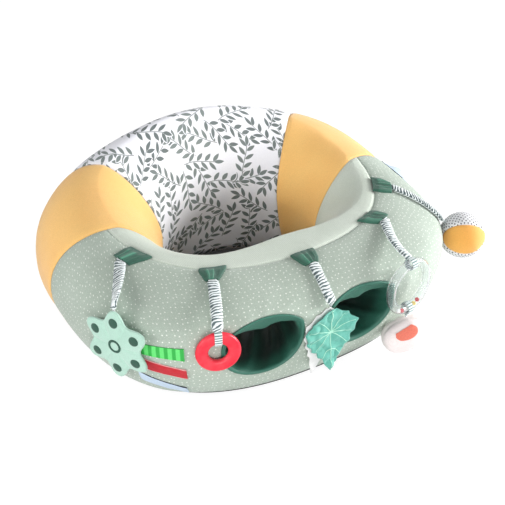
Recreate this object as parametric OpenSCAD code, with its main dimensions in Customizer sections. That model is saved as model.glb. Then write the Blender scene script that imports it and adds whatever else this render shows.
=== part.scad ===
/* Baby floor seat: an inflated ring in a padded fabric cover, with a seat well, two leg tunnels
   and toys hanging from elastic straps. Millimetres. The origin is on the floor, below the middle
   of the seat well; the front of the seat faces -Y and +Z is up. */

/* [Ring] */
// Width of the ring from side to side
ring_w = 600; // [570:5:630]
// Distance from the centre to the front of the ring
ring_front = 243; // [235:1:255]
// Distance from the centre to the back of the ring
ring_back = 222; // [210:1:235]
// Height of the ring at the front
front_h = 162; // [155:1:172]
// Height of the ring at the back, behind the child
back_h = 257; // [240:1:275]
// Width of the seat well at its narrowest height
well_w = 254; // [244:1:264]
// Distance from the centre to the front wall of the well
well_front = 82; // [76:1:88]
// Distance from the centre to the back wall of the well
well_back = 115; // [105:1:125]

/* [Cover] */
// Thickness of the padded cover fabric
fabric_t = 2; // [1.5:0.25:2.5]
// Gap between the cover and the inflated ring
cover_gap = 0.5; // [0.3:0.1:0.8]
// Gap between a loose piece and the cover behind it
lie_gap = 0.5; // [0.3:0.1:0.8]
// Angle from the front to the seam between sage and orange fabric
orange_seam_a = 90.6; // [88:0.2:93]
// Angle from the front to the seam between orange and printed fabric
back_seam_a = 127.2; // [124:0.2:130]

/* [Leg tunnels] */
// Width of a leg hole in the front of the cover
leg_w = 116; // [106:1:119]
// Height of a leg hole in the front of the cover
leg_h = 88; // [80:1:92]
// Height of the middle of a leg hole above the floor
leg_z = 88; // [86:1:92]
// Width of a leg hole in the wall of the well
leg_inner_w = 76; // [70:1:80]
// Height of a leg hole in the wall of the well
leg_inner_h = 74; // [68:1:78]
// How deep the lining of a tunnel folds
lining_fold = 2; // [1:0.5:3]

/* [Seat pad] */
// Thickness of the seat pad at its edge
pad_edge_t = 10; // [8:1:12]
// Thickness of the seat pad at its crown
pad_crown_t = 20; // [16:1:24]

/* [Straps] */
// Width of a gathered elastic strap
strap_w = 12; // [10:0.5:14]
// Thickness of a gathered elastic strap
strap_t = 6; // [5:0.5:7]
// Depth of the gathers on the straps
gather_depth = 0.8; // [0.4:0.1:1.2]
// Thickness of the flat elastic in the loops round the rings
loop_t = 1.5; // [1.2:0.1:2]
// Gap between a strap's loop and the ring that it holds
loop_gap = 0.5; // [0.4:0.1:0.8]
// Width of a pleated tab where it is sewn into the crest seam
tab_w = 38; // [34:1:42]
// Length of a pleated tab
tab_l = 28; // [24:1:32]
// Thickness of a pleated tab
tab_t = 3; // [2.5:0.25:4]

/* [Pendant] */
// Width of the flat flower pendant
pendant_w = 104; // [98:1:110]
// Thickness of each fabric layer of the pendant
pendant_layer_t = 1.6; // [1.2:0.1:2]
// Thickness of the wadding inside the pendant
pendant_fill_t = 2.4; // [2:0.2:3]
// Radius of a dark petal mark
petal_mark_r = 7; // [6:0.5:8]

/* [Teether ring] */
// Outer diameter of the teether ring
teether_d = 60; // [56:1:64]
// Diameter of the hole in the teether ring
teether_hole_d = 26; // [24:1:28]
// Thickness of the teether ring
teether_t = 9; // [8:0.5:10]

/* [Leaf] */
// Width of the leaf toy
leaf_w = 86; // [82:1:90]
// Height of the leaf toy
leaf_h = 104; // [98:1:108]
// Thickness of each fabric layer of the leaf
leaf_layer_t = 1.6; // [1.2:0.1:2]
// Thickness of the crinkle film inside the leaf
film_t = 0.6; // [0.4:0.1:0.8]

/* [Rattle ring] */
// Outer diameter of the clear rattle ring
rattle_d = 86; // [82:1:90]
// Diameter of its tube
rattle_tube_d = 13; // [12:0.5:14]
// Wall of its tube
rattle_wall = 1.5; // [1.2:0.1:1.8]
// Diameter of a bead inside the tube
bead_d = 6.4; // [5.6:0.2:7]

/* [Cushion toy] */
// Width of the small pink cushion toy
cushion_w = 74; // [70:1:78]
// Height of the small pink cushion toy
cushion_h = 58; // [52:1:60]
// Depth of the small pink cushion toy, front to back
cushion_d = 42; // [38:1:46]
// Diameter of the squeaker inside it
squeaker_d = 18; // [16:1:20]

/* [Ball] */
// Diameter of the fabric ball
ball_d = 68; // [64:1:72]
// Thickness of the ball's fabric
ball_skin_t = 1.5; // [1.2:0.1:2]
// Diameter of the round orange panels, measured across their edge
ball_panel_d = 62; // [58:1:64]
// Diameter of the bell inside the ball
bell_d = 24; // [20:1:26]
// Wall of the bell
bell_wall = 1; // [0.8:0.1:1.2]
// Diameter of the pellet inside the bell
pellet_d = 7; // [6:0.5:8]

/* [Ribbons] */
// Width of a satin ribbon
ribbon_w = 18; // [15:1:20]
// Length of a satin ribbon that shows
ribbon_l = 60; // [52:1:66]
// Thickness of a folded satin ribbon
ribbon_t = 1; // [0.8:0.1:1.4]

/* [Zip and valve] */
// Length of the zip in the back of the cover
zip_l = 200; // [180:5:220]
// Width of the zip tape
zip_w = 28; // [24:1:32]
// Thickness of the zip tape
zip_tape_t = 1; // [0.8:0.1:1.2]
// Width of the closed zip chain
chain_w = 5; // [4:0.5:6]
// Height of the zip chain
chain_h = 2; // [1.5:0.25:2.5]
// Distance from one zip tooth to the next
tooth_pitch = 4; // [3.5:0.5:5]
// Height of the air valve above the floor
valve_z = 84; // [80:1:90]
// Diameter of the valve's stem
valve_d = 18; // [16:0.5:20]
// Diameter of the valve's welded flange
valve_flange_d = 32; // [28:1:34]
// Length of the valve's stem
valve_l = 10; // [8:0.5:12]
// Depth of the pocket round the valve
pocket_depth = 24; // [22:1:28]

/* [Hidden] */
$fn = 48;
tiny = 0.001;

// ---- The ring's surface. An angle of 0 is the front and 90 the +X side. The section value runs
// ---- over the ring: 0 outer base edge, 1 outer bulge, 2 crest, 3 inner bulge, 4 inner base edge.

// How square the ring's outline is in plan, at the front and at the back
front_square = 2.8;
back_square = 3.6;
// The crest's place between the well (0) and the outside (1), at the front and at the back
crest_front = 0.17;
crest_back = 0.48;
// Height of the outer bulge as a part of the ring's height, at the front and at the back
bulge_front = 0.72;
bulge_back = 0.32;
// Height of the inner bulge as a part of the ring's height
bulge_inner = 0.5;
// How full the section is outside the crest, and inside it
outer_full = 2.1;
inner_full = 1.55;
// How far out the base reaches, as a part of the ring's radius, at the front and at the back
base_front = 0.856;
base_back = 0.712;
// How far the well widens again below its narrowest height
well_flare = 35;
step = 0.02;

function lerp(a, b, t) = a + (b - a) * t;
function unit(p) = p / norm(p);
function plan_r(a, half_w, front, back, square_f, square_b) =
    let (c = cos(a), depth = c > 0 ? front : back, n = c > 0 ? square_f : square_b)
    pow(pow(abs(sin(a)) / half_w, n) + pow(abs(c) / depth, n), -1 / n);
function to_back(a) = (1 - cos(a)) / 2;
function to_side(a) = 1 - pow(1 - to_back(a), 3);
function outer_r(a) = plan_r(a, ring_w / 2, ring_front, ring_back, front_square, back_square);
function well_r(a) = plan_r(a, well_w / 2, well_front, well_back, 2, 2);
function ring_h(a) = lerp(front_h, back_h, pow(to_back(a), 2));
function crest_r(a) = lerp(well_r(a), outer_r(a), lerp(crest_front, crest_back, to_side(a)));
function bulge_z(a) = ring_h(a) * lerp(bulge_front, bulge_back, to_back(a));
function base_r(a) = outer_r(a) * lerp(base_front, base_back, to_side(a));
function section(a, v) =
    let (h = ring_h(a), zo = bulge_z(a), zi = h * bulge_inner, q = 90 * v)
    v <= 1 ? [lerp(base_r(a), outer_r(a), sin(q)), zo - zo * cos(q)] :
    v <= 2 ? [lerp(crest_r(a), outer_r(a), pow(max(sin(180 - q), 0), 2 / outer_full)),
        lerp(zo, h, pow(max(-cos(q), 0), 2 / outer_full))] :
    v <= 3 ? [lerp(crest_r(a), well_r(a), pow(max(-sin(q), 0), 2 / inner_full)),
        lerp(zi, h, pow(max(-cos(q), 0), 2 / inner_full))] :
    [lerp(well_r(a) + well_flare, well_r(a), -sin(q)), zi - zi * cos(q)];
function around(a, rz) = [rz.x * sin(a), -rz.x * cos(a), rz.y];
function ring_point(a, v) = around(a, section(a, v));
function ring_normal(a, v) = unit(cross(
    ring_point(a + step * 10, v) - ring_point(a - step * 10, v),
    ring_point(a, min(v + step, 4)) - ring_point(a, max(v - step, 0))));
function on_ring(a, v, d) = ring_point(a, v) + ring_normal(a, v) * d;

// ---- The cover's grid. Columns run round the ring from the left orange seam, rows up the
// ---- outside to the crest seam and down into the well.

front_cols = 36;
orange_cols = 6;
back_cols = 16;
cols = front_cols + 2 * orange_cols + back_cols;
mid_col = front_cols / 2;
outer_rows = 9;
inner_rows = 8;
rows = outer_rows + inner_rows;
// Section values of the base seam and of the well's foot
base_seam_v = 0.22;
foot_v = 3.8;
// How much the upright seams lean as they cross the ring
orange_lean = -7.3;
back_lean = -5.3;

function orange_seam(v) = orange_seam_a + orange_lean * (v - 2);
function back_seam(v) = back_seam_a + back_lean * (v - 2);
function col_angle(i, v) =
    let (g = orange_seam(v), w = back_seam(v), k = front_cols, m = k + orange_cols, n = m + back_cols)
    i <= k ? lerp(-g, g, i / k) :
    i <= m ? lerp(g, w, (i - k) / orange_cols) :
    i <= n ? lerp(w, 360 - w, (i - m) / back_cols) :
    lerp(360 - w, 360 - g, (i - n) / orange_cols);
// The crest seam wanders: it lies furthest out between the front and the sides
function crest_v(a) = let (b = min(abs(a), 90)) 1.78 + 0.12 * cos(b) - 0.13 * cos(2 * b);
function crest_seam_v(i) = crest_v(col_angle(i, 2));
function row_v(i, j) = j <= outer_rows ?
    lerp(base_seam_v, crest_seam_v(i), j / outer_rows) :
    lerp(crest_seam_v(i), foot_v, (j - outer_rows) / inner_rows);
function at_v(i, v, d) = on_ring(col_angle(i, v), v, d);
function at_grid(i, j, d) = at_v(i, row_v(i, j), d);
// On the cover the last row stands on the base panel
function cover_point(i, j, d) = let (p = at_grid(i, j, d)) j == rows ? [p.x, p.y, fabric_t] : p;
// Fractional row of a section value, outside the crest seam
function row_of(i, v) = (v - base_seam_v) / (crest_seam_v(i) - base_seam_v) * outer_rows;

// Section value of a height on the outside of the ring, and on the wall of the well
function outer_v(a, z) = let (zo = bulge_z(a), h = ring_h(a))
    z < zo ? acos(1 - z / zo) / 90 : 1 + asin(pow((z - zo) / (h - zo), outer_full / 2)) / 90;
function inner_v(a, z) = let (zi = ring_h(a) * bulge_inner, h = ring_h(a))
    z < zi ? 4 - acos(1 - z / zi) / 90 : 2 + acos(pow((z - zi) / (h - zi), inner_full / 2)) / 90;
function inner_row_of(i, v) =
    outer_rows + (v - crest_seam_v(i)) / (foot_v - crest_seam_v(i)) * inner_rows;
function col_pitch(i, j) = norm(at_grid(i + 1, j, 0) - at_grid(i - 1, j, 0)) / 2;

// ---- Holes. A hole is [first column, last column, first row, last row of the block of cells
// ---- that it replaces, middle column, middle row, half width in columns, half height in rows].

leg_points = 24;
// Angle from the front to halfway between the leg holes, which sit a little to the left in the
// photograph, then from there to the middle of each, outside and in the well
leg_mid_a = -6.7;
leg_a = 17.3;
leg_inner_a = 32;
leg_inner_z = 69;
pocket_points = 16;
pocket_room = 4;
pocket_col = front_cols + orange_cols + back_cols / 2;

function hole(c, low, high, w, half_cols, half_rows) = let (j = (low + high) / 2)
    [round(c) - half_cols, round(c) + half_cols, round(j) - half_rows, round(j) + half_rows,
        c, j, w / 2 / col_pitch(c, j), (high - low) / 2];
function leg_hole(side) = let (a = leg_mid_a + side * leg_a, c = mid_col + a / orange_seam(1) * mid_col)
    hole(c, row_of(c, outer_v(a, leg_z - leg_h / 2)), row_of(c, outer_v(a, leg_z + leg_h / 2)), leg_w, 3, 3);
function well_hole(side) = let (c = mid_col + side * leg_inner_a / orange_seam(3) * mid_col)
    hole(c, inner_row_of(c, inner_v(leg_inner_a, leg_inner_z + leg_inner_h / 2)),
        inner_row_of(c, inner_v(leg_inner_a, leg_inner_z - leg_inner_h / 2)), leg_inner_w, 6, 2);
pocket_hole = let (d = valve_flange_d + 2 * pocket_room)
    hole(pocket_col, row_of(pocket_col, outer_v(180, valve_z - d / 2)),
        row_of(pocket_col, outer_v(180, valve_z + d / 2)), d, 1, 2);

function loop_angles(n) = [for (k = [0:n - 1]) -135 + 360 * k / n];
function hole_loop(h, n, d, turn = 1) =
    [for (t = loop_angles(n)) at_grid(h[4] + h[6] * cos(t), h[5] + turn * h[7] * sin(t), d)];
function in_hole(i, j, holes) =
    len([for (h = holes) if (i >= h[0] && i < h[1] && j >= h[2] && j < h[3]) 1]) > 0;
// The corners round a hole's block, and their directions from its middle
function block_corners(h) = concat(
    [for (i = [h[0]:1:h[1] - 1]) [i, h[2]]], [for (j = [h[2]:1:h[3] - 1]) [h[1], j]],
    [for (i = [h[1]:-1:h[0] + 1]) [i, h[3]]], [for (j = [h[3]:-1:h[2] + 1]) [h[0], j]]);
function block_angles(h) = [for (c = block_corners(h))
    let (t = atan2((2 * c.y - h[2] - h[3]) / (h[3] - h[2]), (2 * c.x - h[0] - h[1]) / (h[1] - h[0])))
    t < -135 - tiny ? t + 360 : t];

// ---- Faces, as triangles whose corners run clockwise seen from outside the solid

function quad(a, b, c, d) = [[a, b, c], [a, c, d]];
function flipped(faces) = [for (f = faces) [f[0], f[2], f[1]]];
function middles(angles) = [for (k = [0:len(angles) - 1])
    (angles[k] + (k + 1 < len(angles) ? angles[k + 1] : angles[0] + 360)) / 2];
// Faces between an outer loop and the loop inside it, matched by direction
function bridge(outer, outer_angles, inner, inner_angles) =
    let (om = middles(outer_angles), im = middles(inner_angles), n = len(outer), m = len(inner))
    concat(
        [for (k = [0:n - 1]) let (q = len([for (t = im) if (t < om[k] - tiny) 1]))
            [outer[k], inner[q % m], outer[(k + 1) % n]]],
        [for (q = [0:m - 1]) let (k = len([for (t = om) if (t <= im[q] + tiny) 1]))
            [inner[q], inner[(q + 1) % m], outer[k % n]]]);
// Faces of a tube whose rings start at a, then b, seen from inside the tube
function band(a, b, n) = [for (k = [0:n - 1]) each
    quad(a + (k + 1) % n, a + k, b + k, b + (k + 1) % n)];

// ---- Cover panels: two sheets of the grid a fabric thickness apart, with a rim all round

module panel(i0, i1, j0, j1, holes = []) {
    n = i1 - i0 + 1;
    sheet = n * (j1 - j0 + 1);
    function id(i, j) = (j - j0) * n + i - i0;
    function loop_id(k, side) = 2 * sheet + (2 * k + side) * leg_points;
    function loop_ids(k, side) = [for (q = [0:leg_points - 1]) loop_id(k, side) + q];
    function skin(shift, side) = concat(
        [for (j = [j0:j1 - 1]) for (i = [i0:i1 - 1]) if (!in_hole(i, j, holes)) each
            quad(id(i, j) + shift, id(i, j + 1) + shift, id(i + 1, j + 1) + shift, id(i + 1, j) + shift)],
        [for (k = [0:1:len(holes) - 1]) each bridge(
            [for (c = block_corners(holes[k])) id(c.x, c.y) + shift], block_angles(holes[k]),
            loop_ids(k, side), loop_angles(leg_points))]);
    // Rims of neighbours are cut along the same diagonals, so that they meet face to face
    function rim(a, b) = quad(a, b, b + sheet, a + sheet);
    function far_rim(a, b) = quad(b, b + sheet, a + sheet, a);
    points = concat(
        [for (d = [0, -fabric_t]) for (j = [j0:j1]) for (i = [i0:i1]) cover_point(i, j, d)],
        [for (h = holes) for (d = [0, -fabric_t]) each hole_loop(h, leg_points, d)]);
    faces = concat(skin(0, 0), flipped(skin(sheet, 1)),
        [for (i = [i0:i1 - 1]) each
            concat(rim(id(i, j0), id(i + 1, j0)), far_rim(id(i + 1, j1), id(i, j1)))],
        [for (j = [j0:j1 - 1]) each
            concat(rim(id(i0, j + 1), id(i0, j)), far_rim(id(i1, j), id(i1, j + 1)))],
        [for (k = [0:1:len(holes) - 1]) each band(loop_id(k, 0), loop_id(k, 1), leg_points)]);
    polyhedron(points, faces);
}

// ---- Tunnels: rings of points from a hole outside to the hole in the well

tunnel_rings = 6;
lining_gap = 1;

function middle(loop) = let (n = len(loop)) [for (k = [0:n - 1]) 1] * loop / n;
// A loop with every point moved away from its middle by a distance
function grown(loop, by) = let (c = middle(loop)) [for (k = [0:len(loop) - 1])
    let (b = is_list(by) ? by[k] : by) loop[k] + unit(loop[k] - c) * b];
function tunnel_ring(side, t, d) =
    let (a = hole_loop(leg_hole(side), leg_points, d), b = hole_loop(well_hole(side), leg_points, d, -1))
    [for (k = [0:leg_points - 1]) lerp(a[k], b[k], t)];
// The outline of the lining: flush with the cover's face at both ends
function lining_rings(side) = concat([tunnel_ring(side, 0, 0)],
    [for (k = [0:tunnel_rings]) tunnel_ring(side, k / tunnel_rings, -fabric_t)],
    [tunnel_ring(side, 1, 0)]);

module leg_lining(side) {
    walls = lining_rings(side);
    n = leg_points;
    m = len(walls);
    function fold(r, k) = k % 2 == 0 ? lining_fold * sin(180 * r / (m - 1)) : 0;
    inside = [for (r = [0:m - 1])
        grown(walls[r], [for (k = [0:n - 1]) -fabric_t - fold(r, k)])];
    function start(r, inner) = (r + (inner ? m : 0)) * n;
    mouth = [for (k = [0:n - 1]) each quad(k, start(0, true) + k,
        start(0, true) + (k + 1) % n, (k + 1) % n)];
    far = [for (k = [0:n - 1]) each quad(start(m - 1, false) + k, start(m - 1, false) + (k + 1) % n,
        start(m - 1, true) + (k + 1) % n, start(m - 1, true) + k)];
    polyhedron([for (ring = concat(walls, inside)) each ring], concat(mouth, far,
        [for (r = [0:m - 2]) each flipped(band(start(r, false), start(r + 1, false), n))],
        [for (r = [0:m - 2]) each band(start(r, true), start(r + 1, true), n)]));
}

// ---- The inflated ring, with the two tunnels and the valve's pocket

pocket_floor = ring_back - fabric_t - cover_gap - pocket_depth;

module bladder() {
    d = -fabric_t - cover_gap;
    section_rows = rows + 3;
    function id(i, r) = (r % section_rows) * cols + i % cols;
    function ring_id(side, k) =
        section_rows * cols + ((side > 0 ? 0 : 1) * (tunnel_rings + 1) + k) * leg_points;
    function pocket_id(k) = section_rows * cols + 2 * (tunnel_rings + 1) * leg_points + k * pocket_points;
    holes = [leg_hole(1), leg_hole(-1), well_hole(1), well_hole(-1), pocket_hole];
    function corners(h) = [for (c = block_corners(h)) id(c.x, c.y + 1)];
    function tunnel_points(side) = [for (k = [0:tunnel_rings]) each
        grown(tunnel_ring(side, k / tunnel_rings, k == 0 || k == tunnel_rings ? d - lining_gap : -fabric_t),
            lining_gap)];
    mouth = hole_loop(pocket_hole, pocket_points, d - lining_gap);
    points = concat(
        [for (i = [0:cols - 1]) at_v(i, 0, d)],
        [for (j = [0:rows]) for (i = [0:cols - 1]) at_grid(i, j, d)],
        [for (i = [0:cols - 1]) at_v(i, 4, d)],
        tunnel_points(1), tunnel_points(-1),
        mouth, [for (p = mouth) [p.x, pocket_floor, p.z]], [[0, pocket_floor, middle(mouth).z]]);
    faces = concat(
        [for (r = [0:section_rows - 1]) for (i = [0:cols - 1]) if (!in_hole(i, r - 1, holes)) each
            quad(id(i, r), id(i, r + 1), id(i + 1, r + 1), id(i + 1, r))],
        [for (side = [1, -1]) each concat(
            bridge(corners(leg_hole(side)), block_angles(leg_hole(side)),
                [for (q = [0:leg_points - 1]) ring_id(side, 0) + q], loop_angles(leg_points)),
            bridge(corners(well_hole(side)), block_angles(well_hole(side)),
                [for (q = [0:leg_points - 1]) ring_id(side, tunnel_rings)
                    + (leg_points * 7 / 4 - q) % leg_points], loop_angles(leg_points)),
            [for (k = [0:tunnel_rings - 1]) each band(ring_id(side, k), ring_id(side, k + 1), leg_points)])],
        bridge(corners(pocket_hole), block_angles(pocket_hole),
            [for (q = [0:pocket_points - 1]) pocket_id(0) + q], loop_angles(pocket_points)),
        band(pocket_id(0), pocket_id(1), pocket_points),
        [for (q = [0:pocket_points - 1])
            [pocket_id(2), pocket_id(1) + (q + 1) % pocket_points, pocket_id(1) + q]]);
    color("whitesmoke") polyhedron(points, faces);
}

// ---- Cover, from the base up

module base_panel() {
    levels = [base_seam_v, base_seam_v / 2, 0];
    n = len(levels);
    function id(i, r) = r * cols + i % cols;
    middle_low = 2 * n * cols;
    points = concat(
        [for (d = [0, -fabric_t]) for (v = levels) for (i = [0:cols - 1]) at_v(i, v, d)],
        [[0, 0, 0], [0, 0, fabric_t]]);
    function skin(shift) = [for (r = [0:n - 2]) for (i = [0:cols - 1]) each
        quad(id(i, r) + shift, id(i + 1, r) + shift, id(i + 1, r + 1) + shift, id(i, r + 1) + shift)];
    faces = concat(skin(0), flipped(skin(n * cols)),
        [for (i = [0:cols - 1]) [middle_low, id(i, n - 1), id(i + 1, n - 1)]],
        [for (i = [0:cols - 1]) [middle_low + 1, id(i + 1, 2 * n - 1), id(i, 2 * n - 1)]],
        [for (i = [0:cols - 1]) each quad(id(i, 0), id(i, n), id(i + 1, n), id(i + 1, 0))]);
    color("#26262a") polyhedron(points, faces);
}

module front_panel() {
    color("#a5bcac") panel(0, front_cols, 0, outer_rows, [leg_hole(1), leg_hole(-1)]);
}

module inner_front_panel() {
    color("#cdd6c8") panel(0, front_cols, outer_rows, rows, [well_hole(1), well_hole(-1)]);
}

module right_orange_panel() {
    color("#fdb964") panel(front_cols, front_cols + orange_cols, 0, rows);
}

module back_panel() {
    color("#ebebf5") panel(front_cols + orange_cols, cols - orange_cols, 0, rows);
}

module left_orange_panel() {
    color("#fdb964") panel(cols - orange_cols, cols, 0, rows);
}

module right_leg_lining() { color("#235546") leg_lining(1); }
module left_leg_lining() { color("#235546") leg_lining(-1); }

// The pad's rounded edge as a part of its radius, and its gap to the wall of the well
pad_round = 0.03;
pad_gap = 4;
// The pad's sewn channel: its depth, and its place and width as parts of the radius
pad_channel = 3;
pad_channel_at = 0.6;
pad_channel_w = 0.2;

module seat_pad() {
    spokes = 40;
    levels = 5;
    edge_turns = [15:30:165];
    function edge_r(a) = let (up = pad_edge_t / 2 / (ring_h(a) * bulge_inner))
        well_r(a) + well_flare * (1 - sqrt(1 - pow(1 - up, 2))) - pad_gap;
    function channel(u) = let (x = (u - pad_channel_at) / pad_channel_w)
        abs(x) < 0.5 ? pad_channel * pow(cos(180 * x), 2) : 0;
    // Rings from the underside, out over the edge and up to the middle of the top
    profile = concat([[1 - pad_round, 0]],
        [for (t = edge_turns) [1 - pad_round + pad_round * sin(t), pad_edge_t * (1 - cos(t)) / 2]],
        [for (k = [1:levels - 1]) let (u = 1 - k / levels)
            [(1 - pad_round) * u, pad_edge_t + (pad_crown_t - pad_edge_t) * (1 - u * u) - channel(u)]]);
    n = len(profile);
    points = concat([for (q = profile) for (k = [0:spokes - 1]) let (a = 360 * k / spokes)
        around(a, [edge_r(a) * q.x, fabric_t + q.y])],
        [[0, 0, fabric_t], [0, 0, fabric_t + pad_crown_t]]);
    function id(r, k) = r * spokes + k % spokes;
    faces = concat(
        [for (r = [0:n - 2]) for (k = [0:spokes - 1]) each
            quad(id(r, k), id(r + 1, k), id(r + 1, k + 1), id(r, k + 1))],
        [for (k = [0:spokes - 1]) [n * spokes, id(0, k), id(0, k + 1)]],
        [for (k = [0:spokes - 1]) [n * spokes + 1, id(n - 1, k + 1), id(n - 1, k)]]);
    color("#b9c9bb") polyhedron(points, faces);
}

// ---- Valve, in the pocket at the back of the inflated ring

valve_wall = 2.5;
valve_flange_t = 1.5;
plug_head_d = 15;
plug_head_t = 2.5;
plug_gap = 0.3;

module at_valve() {
    translate([0, pocket_floor, valve_z]) rotate([-90, 0, 0]) children();
}

module valve_stem() {
    color("white") at_valve() difference() {
        union() {
            cylinder(d = valve_flange_d, h = valve_flange_t);
            cylinder(d = valve_d, h = valve_l);
        }
        translate([0, 0, valve_flange_t]) cylinder(d = valve_d - 2 * valve_wall, h = valve_l);
    }
}

module valve_plug() {
    color("white") at_valve() translate([0, 0, valve_l + plug_gap]) {
        cylinder(d = plug_head_d, h = plug_head_t);
        translate([0, 0, -valve_l / 2])
            cylinder(d = valve_d - 2 * valve_wall - 2 * plug_gap, h = valve_l / 2);
    }
}

// ---- Zip, low on the back of the cover, along X

zip_v = 0.45;
zip_lift = 0.8;
zip_p = on_ring(180, zip_v, zip_lift);
zip_n = ring_normal(180, zip_v);
slider_w = 11;
slider_l = 12;
slider_wall = 1.2;
slide_gap = 0.3;
ear_l = 3;
ear_h = 4;
pin_d = 1.6;
puller_l = 24;
puller_w = 7;
puller_t = 1.4;
puller_hole_d = 3.6;
eye_wall = 0.6;
// How far the puller hangs away from the tape
puller_hang = 55;

module at_zip() {
    translate(zip_p) rotate([atan2(-zip_n.y, zip_n.z), 0, 0]) children();
}

module zip_tape() {
    strip = (zip_w - chain_w) / 2 - slide_gap;
    color("#dcdce6") at_zip() for (side = [-1, 1])
        translate([-zip_l / 2, side * (zip_w - strip) / 2 - strip / 2, 0]) cube([zip_l, strip, zip_tape_t]);
}

module zip_teeth() {
    count = floor(zip_l / tooth_pitch);
    start = -count * tooth_pitch / 2;
    web = chain_h / 2;
    color("white") at_zip() rotate([90, 0, 0]) translate([0, 0, -chain_w / 2]) linear_extrude(chain_w)
        polygon(concat([[start, 0]],
            [for (k = [0:count - 1]) for (p = [[0, web], [1 / 4, chain_h], [3 / 4, chain_h], [1, web]])
                [start + (k + p.x) * tooth_pitch, p.y]],
            [[-start, 0]]));
}

slider_x = zip_l / 2 - slider_l;
slider_top = chain_h + slide_gap + slider_wall;
pin_z = slider_top + ear_h / 2;
pin_x = slider_x + slider_l / 2 - ear_l;

module zip_slider() {
    low = zip_tape_t + slide_gap;
    color("#c9ccd2") at_zip() {
        translate([slider_x - slider_l / 2, 0, 0]) difference() {
            translate([0, -slider_w / 2, low]) cube([slider_l, slider_w, slider_top - low]);
            translate([-1, -chain_w / 2 - slide_gap, 0])
                cube([slider_l + 2, chain_w + 2 * slide_gap, chain_h + slide_gap]);
        }
        for (y = [-slider_w / 2, slider_w / 2 - slider_wall])
            translate([pin_x - ear_l / 2, y, slider_top - tiny]) cube([ear_l, slider_wall, ear_h]);
        translate([pin_x, 0, pin_z]) rotate([90, 0, 0])
            cylinder(d = pin_d, h = slider_w - slider_wall, center = true);
    }
}

module zip_puller() {
    eye = pin_d / 2 + slide_gap;
    color("#c9ccd2") at_zip() translate([pin_x, 0, pin_z]) rotate([0, puller_hang, 0]) difference() {
        union() {
            rotate([90, 0, 0]) cylinder(r = eye + eye_wall, h = puller_w, center = true);
            translate([-puller_l, -puller_w / 2, -puller_t / 2]) cube([puller_l, puller_w, puller_t]);
        }
        rotate([90, 0, 0]) cylinder(r = eye, h = puller_w + 1, center = true);
        translate([puller_hole_d - puller_l, 0, -puller_t]) cylinder(d = puller_hole_d, h = 2 * puller_t);
    }
}

// ---- Where the toys hang: in a plane that just clears the ring's bulge, faced along its normal.
// ---- In a toy's own frame -y points away from the ring and z points up.

pendant_a = -62.7;
pendant_z = 103;
teether_a = -37.7;
teether_z = 104;
leaf_a = -2.5;
leaf_z = 71.5;
rattle_a = 26;
rattle_z = 116;
cushion_z = 34;
ball_a = 61.5;
ball_z = 98;
hinge_gap = 0.6;
// How many degrees of the ring to each side a toy's plane clears
clear_span = 12;
// How far the cushion toy tucks in under the ring's bulge
cushion_tuck = 8;

pendant_t = 2 * pendant_layer_t + pendant_fill_t;
leaf_t = 2 * leaf_layer_t + film_t;
rattle_r = (rattle_d - rattle_tube_d) / 2;
rattle_slack = 0.4;
rattle_loop_r = rattle_tube_d / 2 + loop_gap + rattle_slack;
pendant_off = pendant_t / 2 + lie_gap;
teether_off = teether_t / 2 + lie_gap;
leaf_off = leaf_t / 2 + lie_gap;
// How far the cushion toy is turned towards the left, out of its strap's plane
cushion_turn = 25;
cushion_reach = norm([cushion_d / 2 * cos(cushion_turn), cushion_w / 2 * sin(cushion_turn)]);
rattle_off = max(rattle_loop_r + loop_t + lie_gap, cushion_reach - cushion_tuck);
ball_off = ball_d / 2 + lie_gap;

function out_dir(a) = let (n = ring_normal(a, 1)) unit([n.x, n.y, 0]);
function facing(a) = let (h = out_dir(a)) atan2(h.x, -h.y);
function reach(a) = let (h = out_dir(a))
    max([for (b = [a - clear_span:3:a + clear_span]) for (v = [0.8:0.1:1.3]) ring_point(b, v) * h]);
function hang(a, off, z) = let (h = out_dir(a), t = [-h.y, h.x, 0])
    h * (reach(a) + off) + t * (ring_point(a, 1) * t) + [0, 0, z];
module hung(a, off, z) { translate(hang(a, off, z)) rotate([0, 0, facing(a)]) children(); }

// ---- Tabs and straps. A strap is [angle of its tab on the crest seam, angle of its own start,
// ---- toy's angle, toy's offset, height of the point that it holds, length from there to its end,
// ---- lean of its end away from upright, whether its end is gathered to a point].

teether_section = (teether_d - teether_hole_d) / 4;
teether_slack = 0.7;
teether_loop = [teether_section + loop_gap + teether_slack, teether_t / 2 + loop_gap];
teether_top = teether_z + teether_d / 2 - teether_section;
rattle_lean = 35;
ball_lean = 50;
STRAPS = [
    [-73, -75, pendant_a, pendant_off, pendant_z + pendant_w / 2, hinge_gap, 0, true],
    [-43.5, -42, teether_a, teether_off, teether_top, teether_loop.x + loop_t / 2, 0, false],
    [0.5, 0, leaf_a, leaf_off, leaf_z + leaf_h / 2, hinge_gap, 0, true],
    [46, 46, rattle_a, rattle_off, rattle_z + rattle_r, rattle_loop_r + loop_t / 2, rattle_lean, false],
    [71, 68.5, ball_a, ball_off - ball_d / 2 * sin(ball_lean), ball_z + ball_d / 2 * cos(ball_lean),
        hinge_gap, ball_lean, true]];
strap_sides = 8;
gather_pitch = 3.2;
// Length of a strap's last straight stretch
strap_drop = 10;
// Least run of a strap down the ring in section values, and how it leaves the ring: late where it
// hangs below the ring's shoulder, early where it spans from the shoulder to its toy
strap_run = 0.3;
leave_late = 2.5;
leave_early = 1.3;
// Number of gathers over which a strap turns from its tab's direction
start_turns = 4;
// Sizes of the last two gathers of a strap that ends in a point
strap_tip = [0.7, 0.2];
loop_w = strap_w * 0.75;
tab_gap = 1;
tab_folds = 8;
tab_rows = 3;

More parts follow.
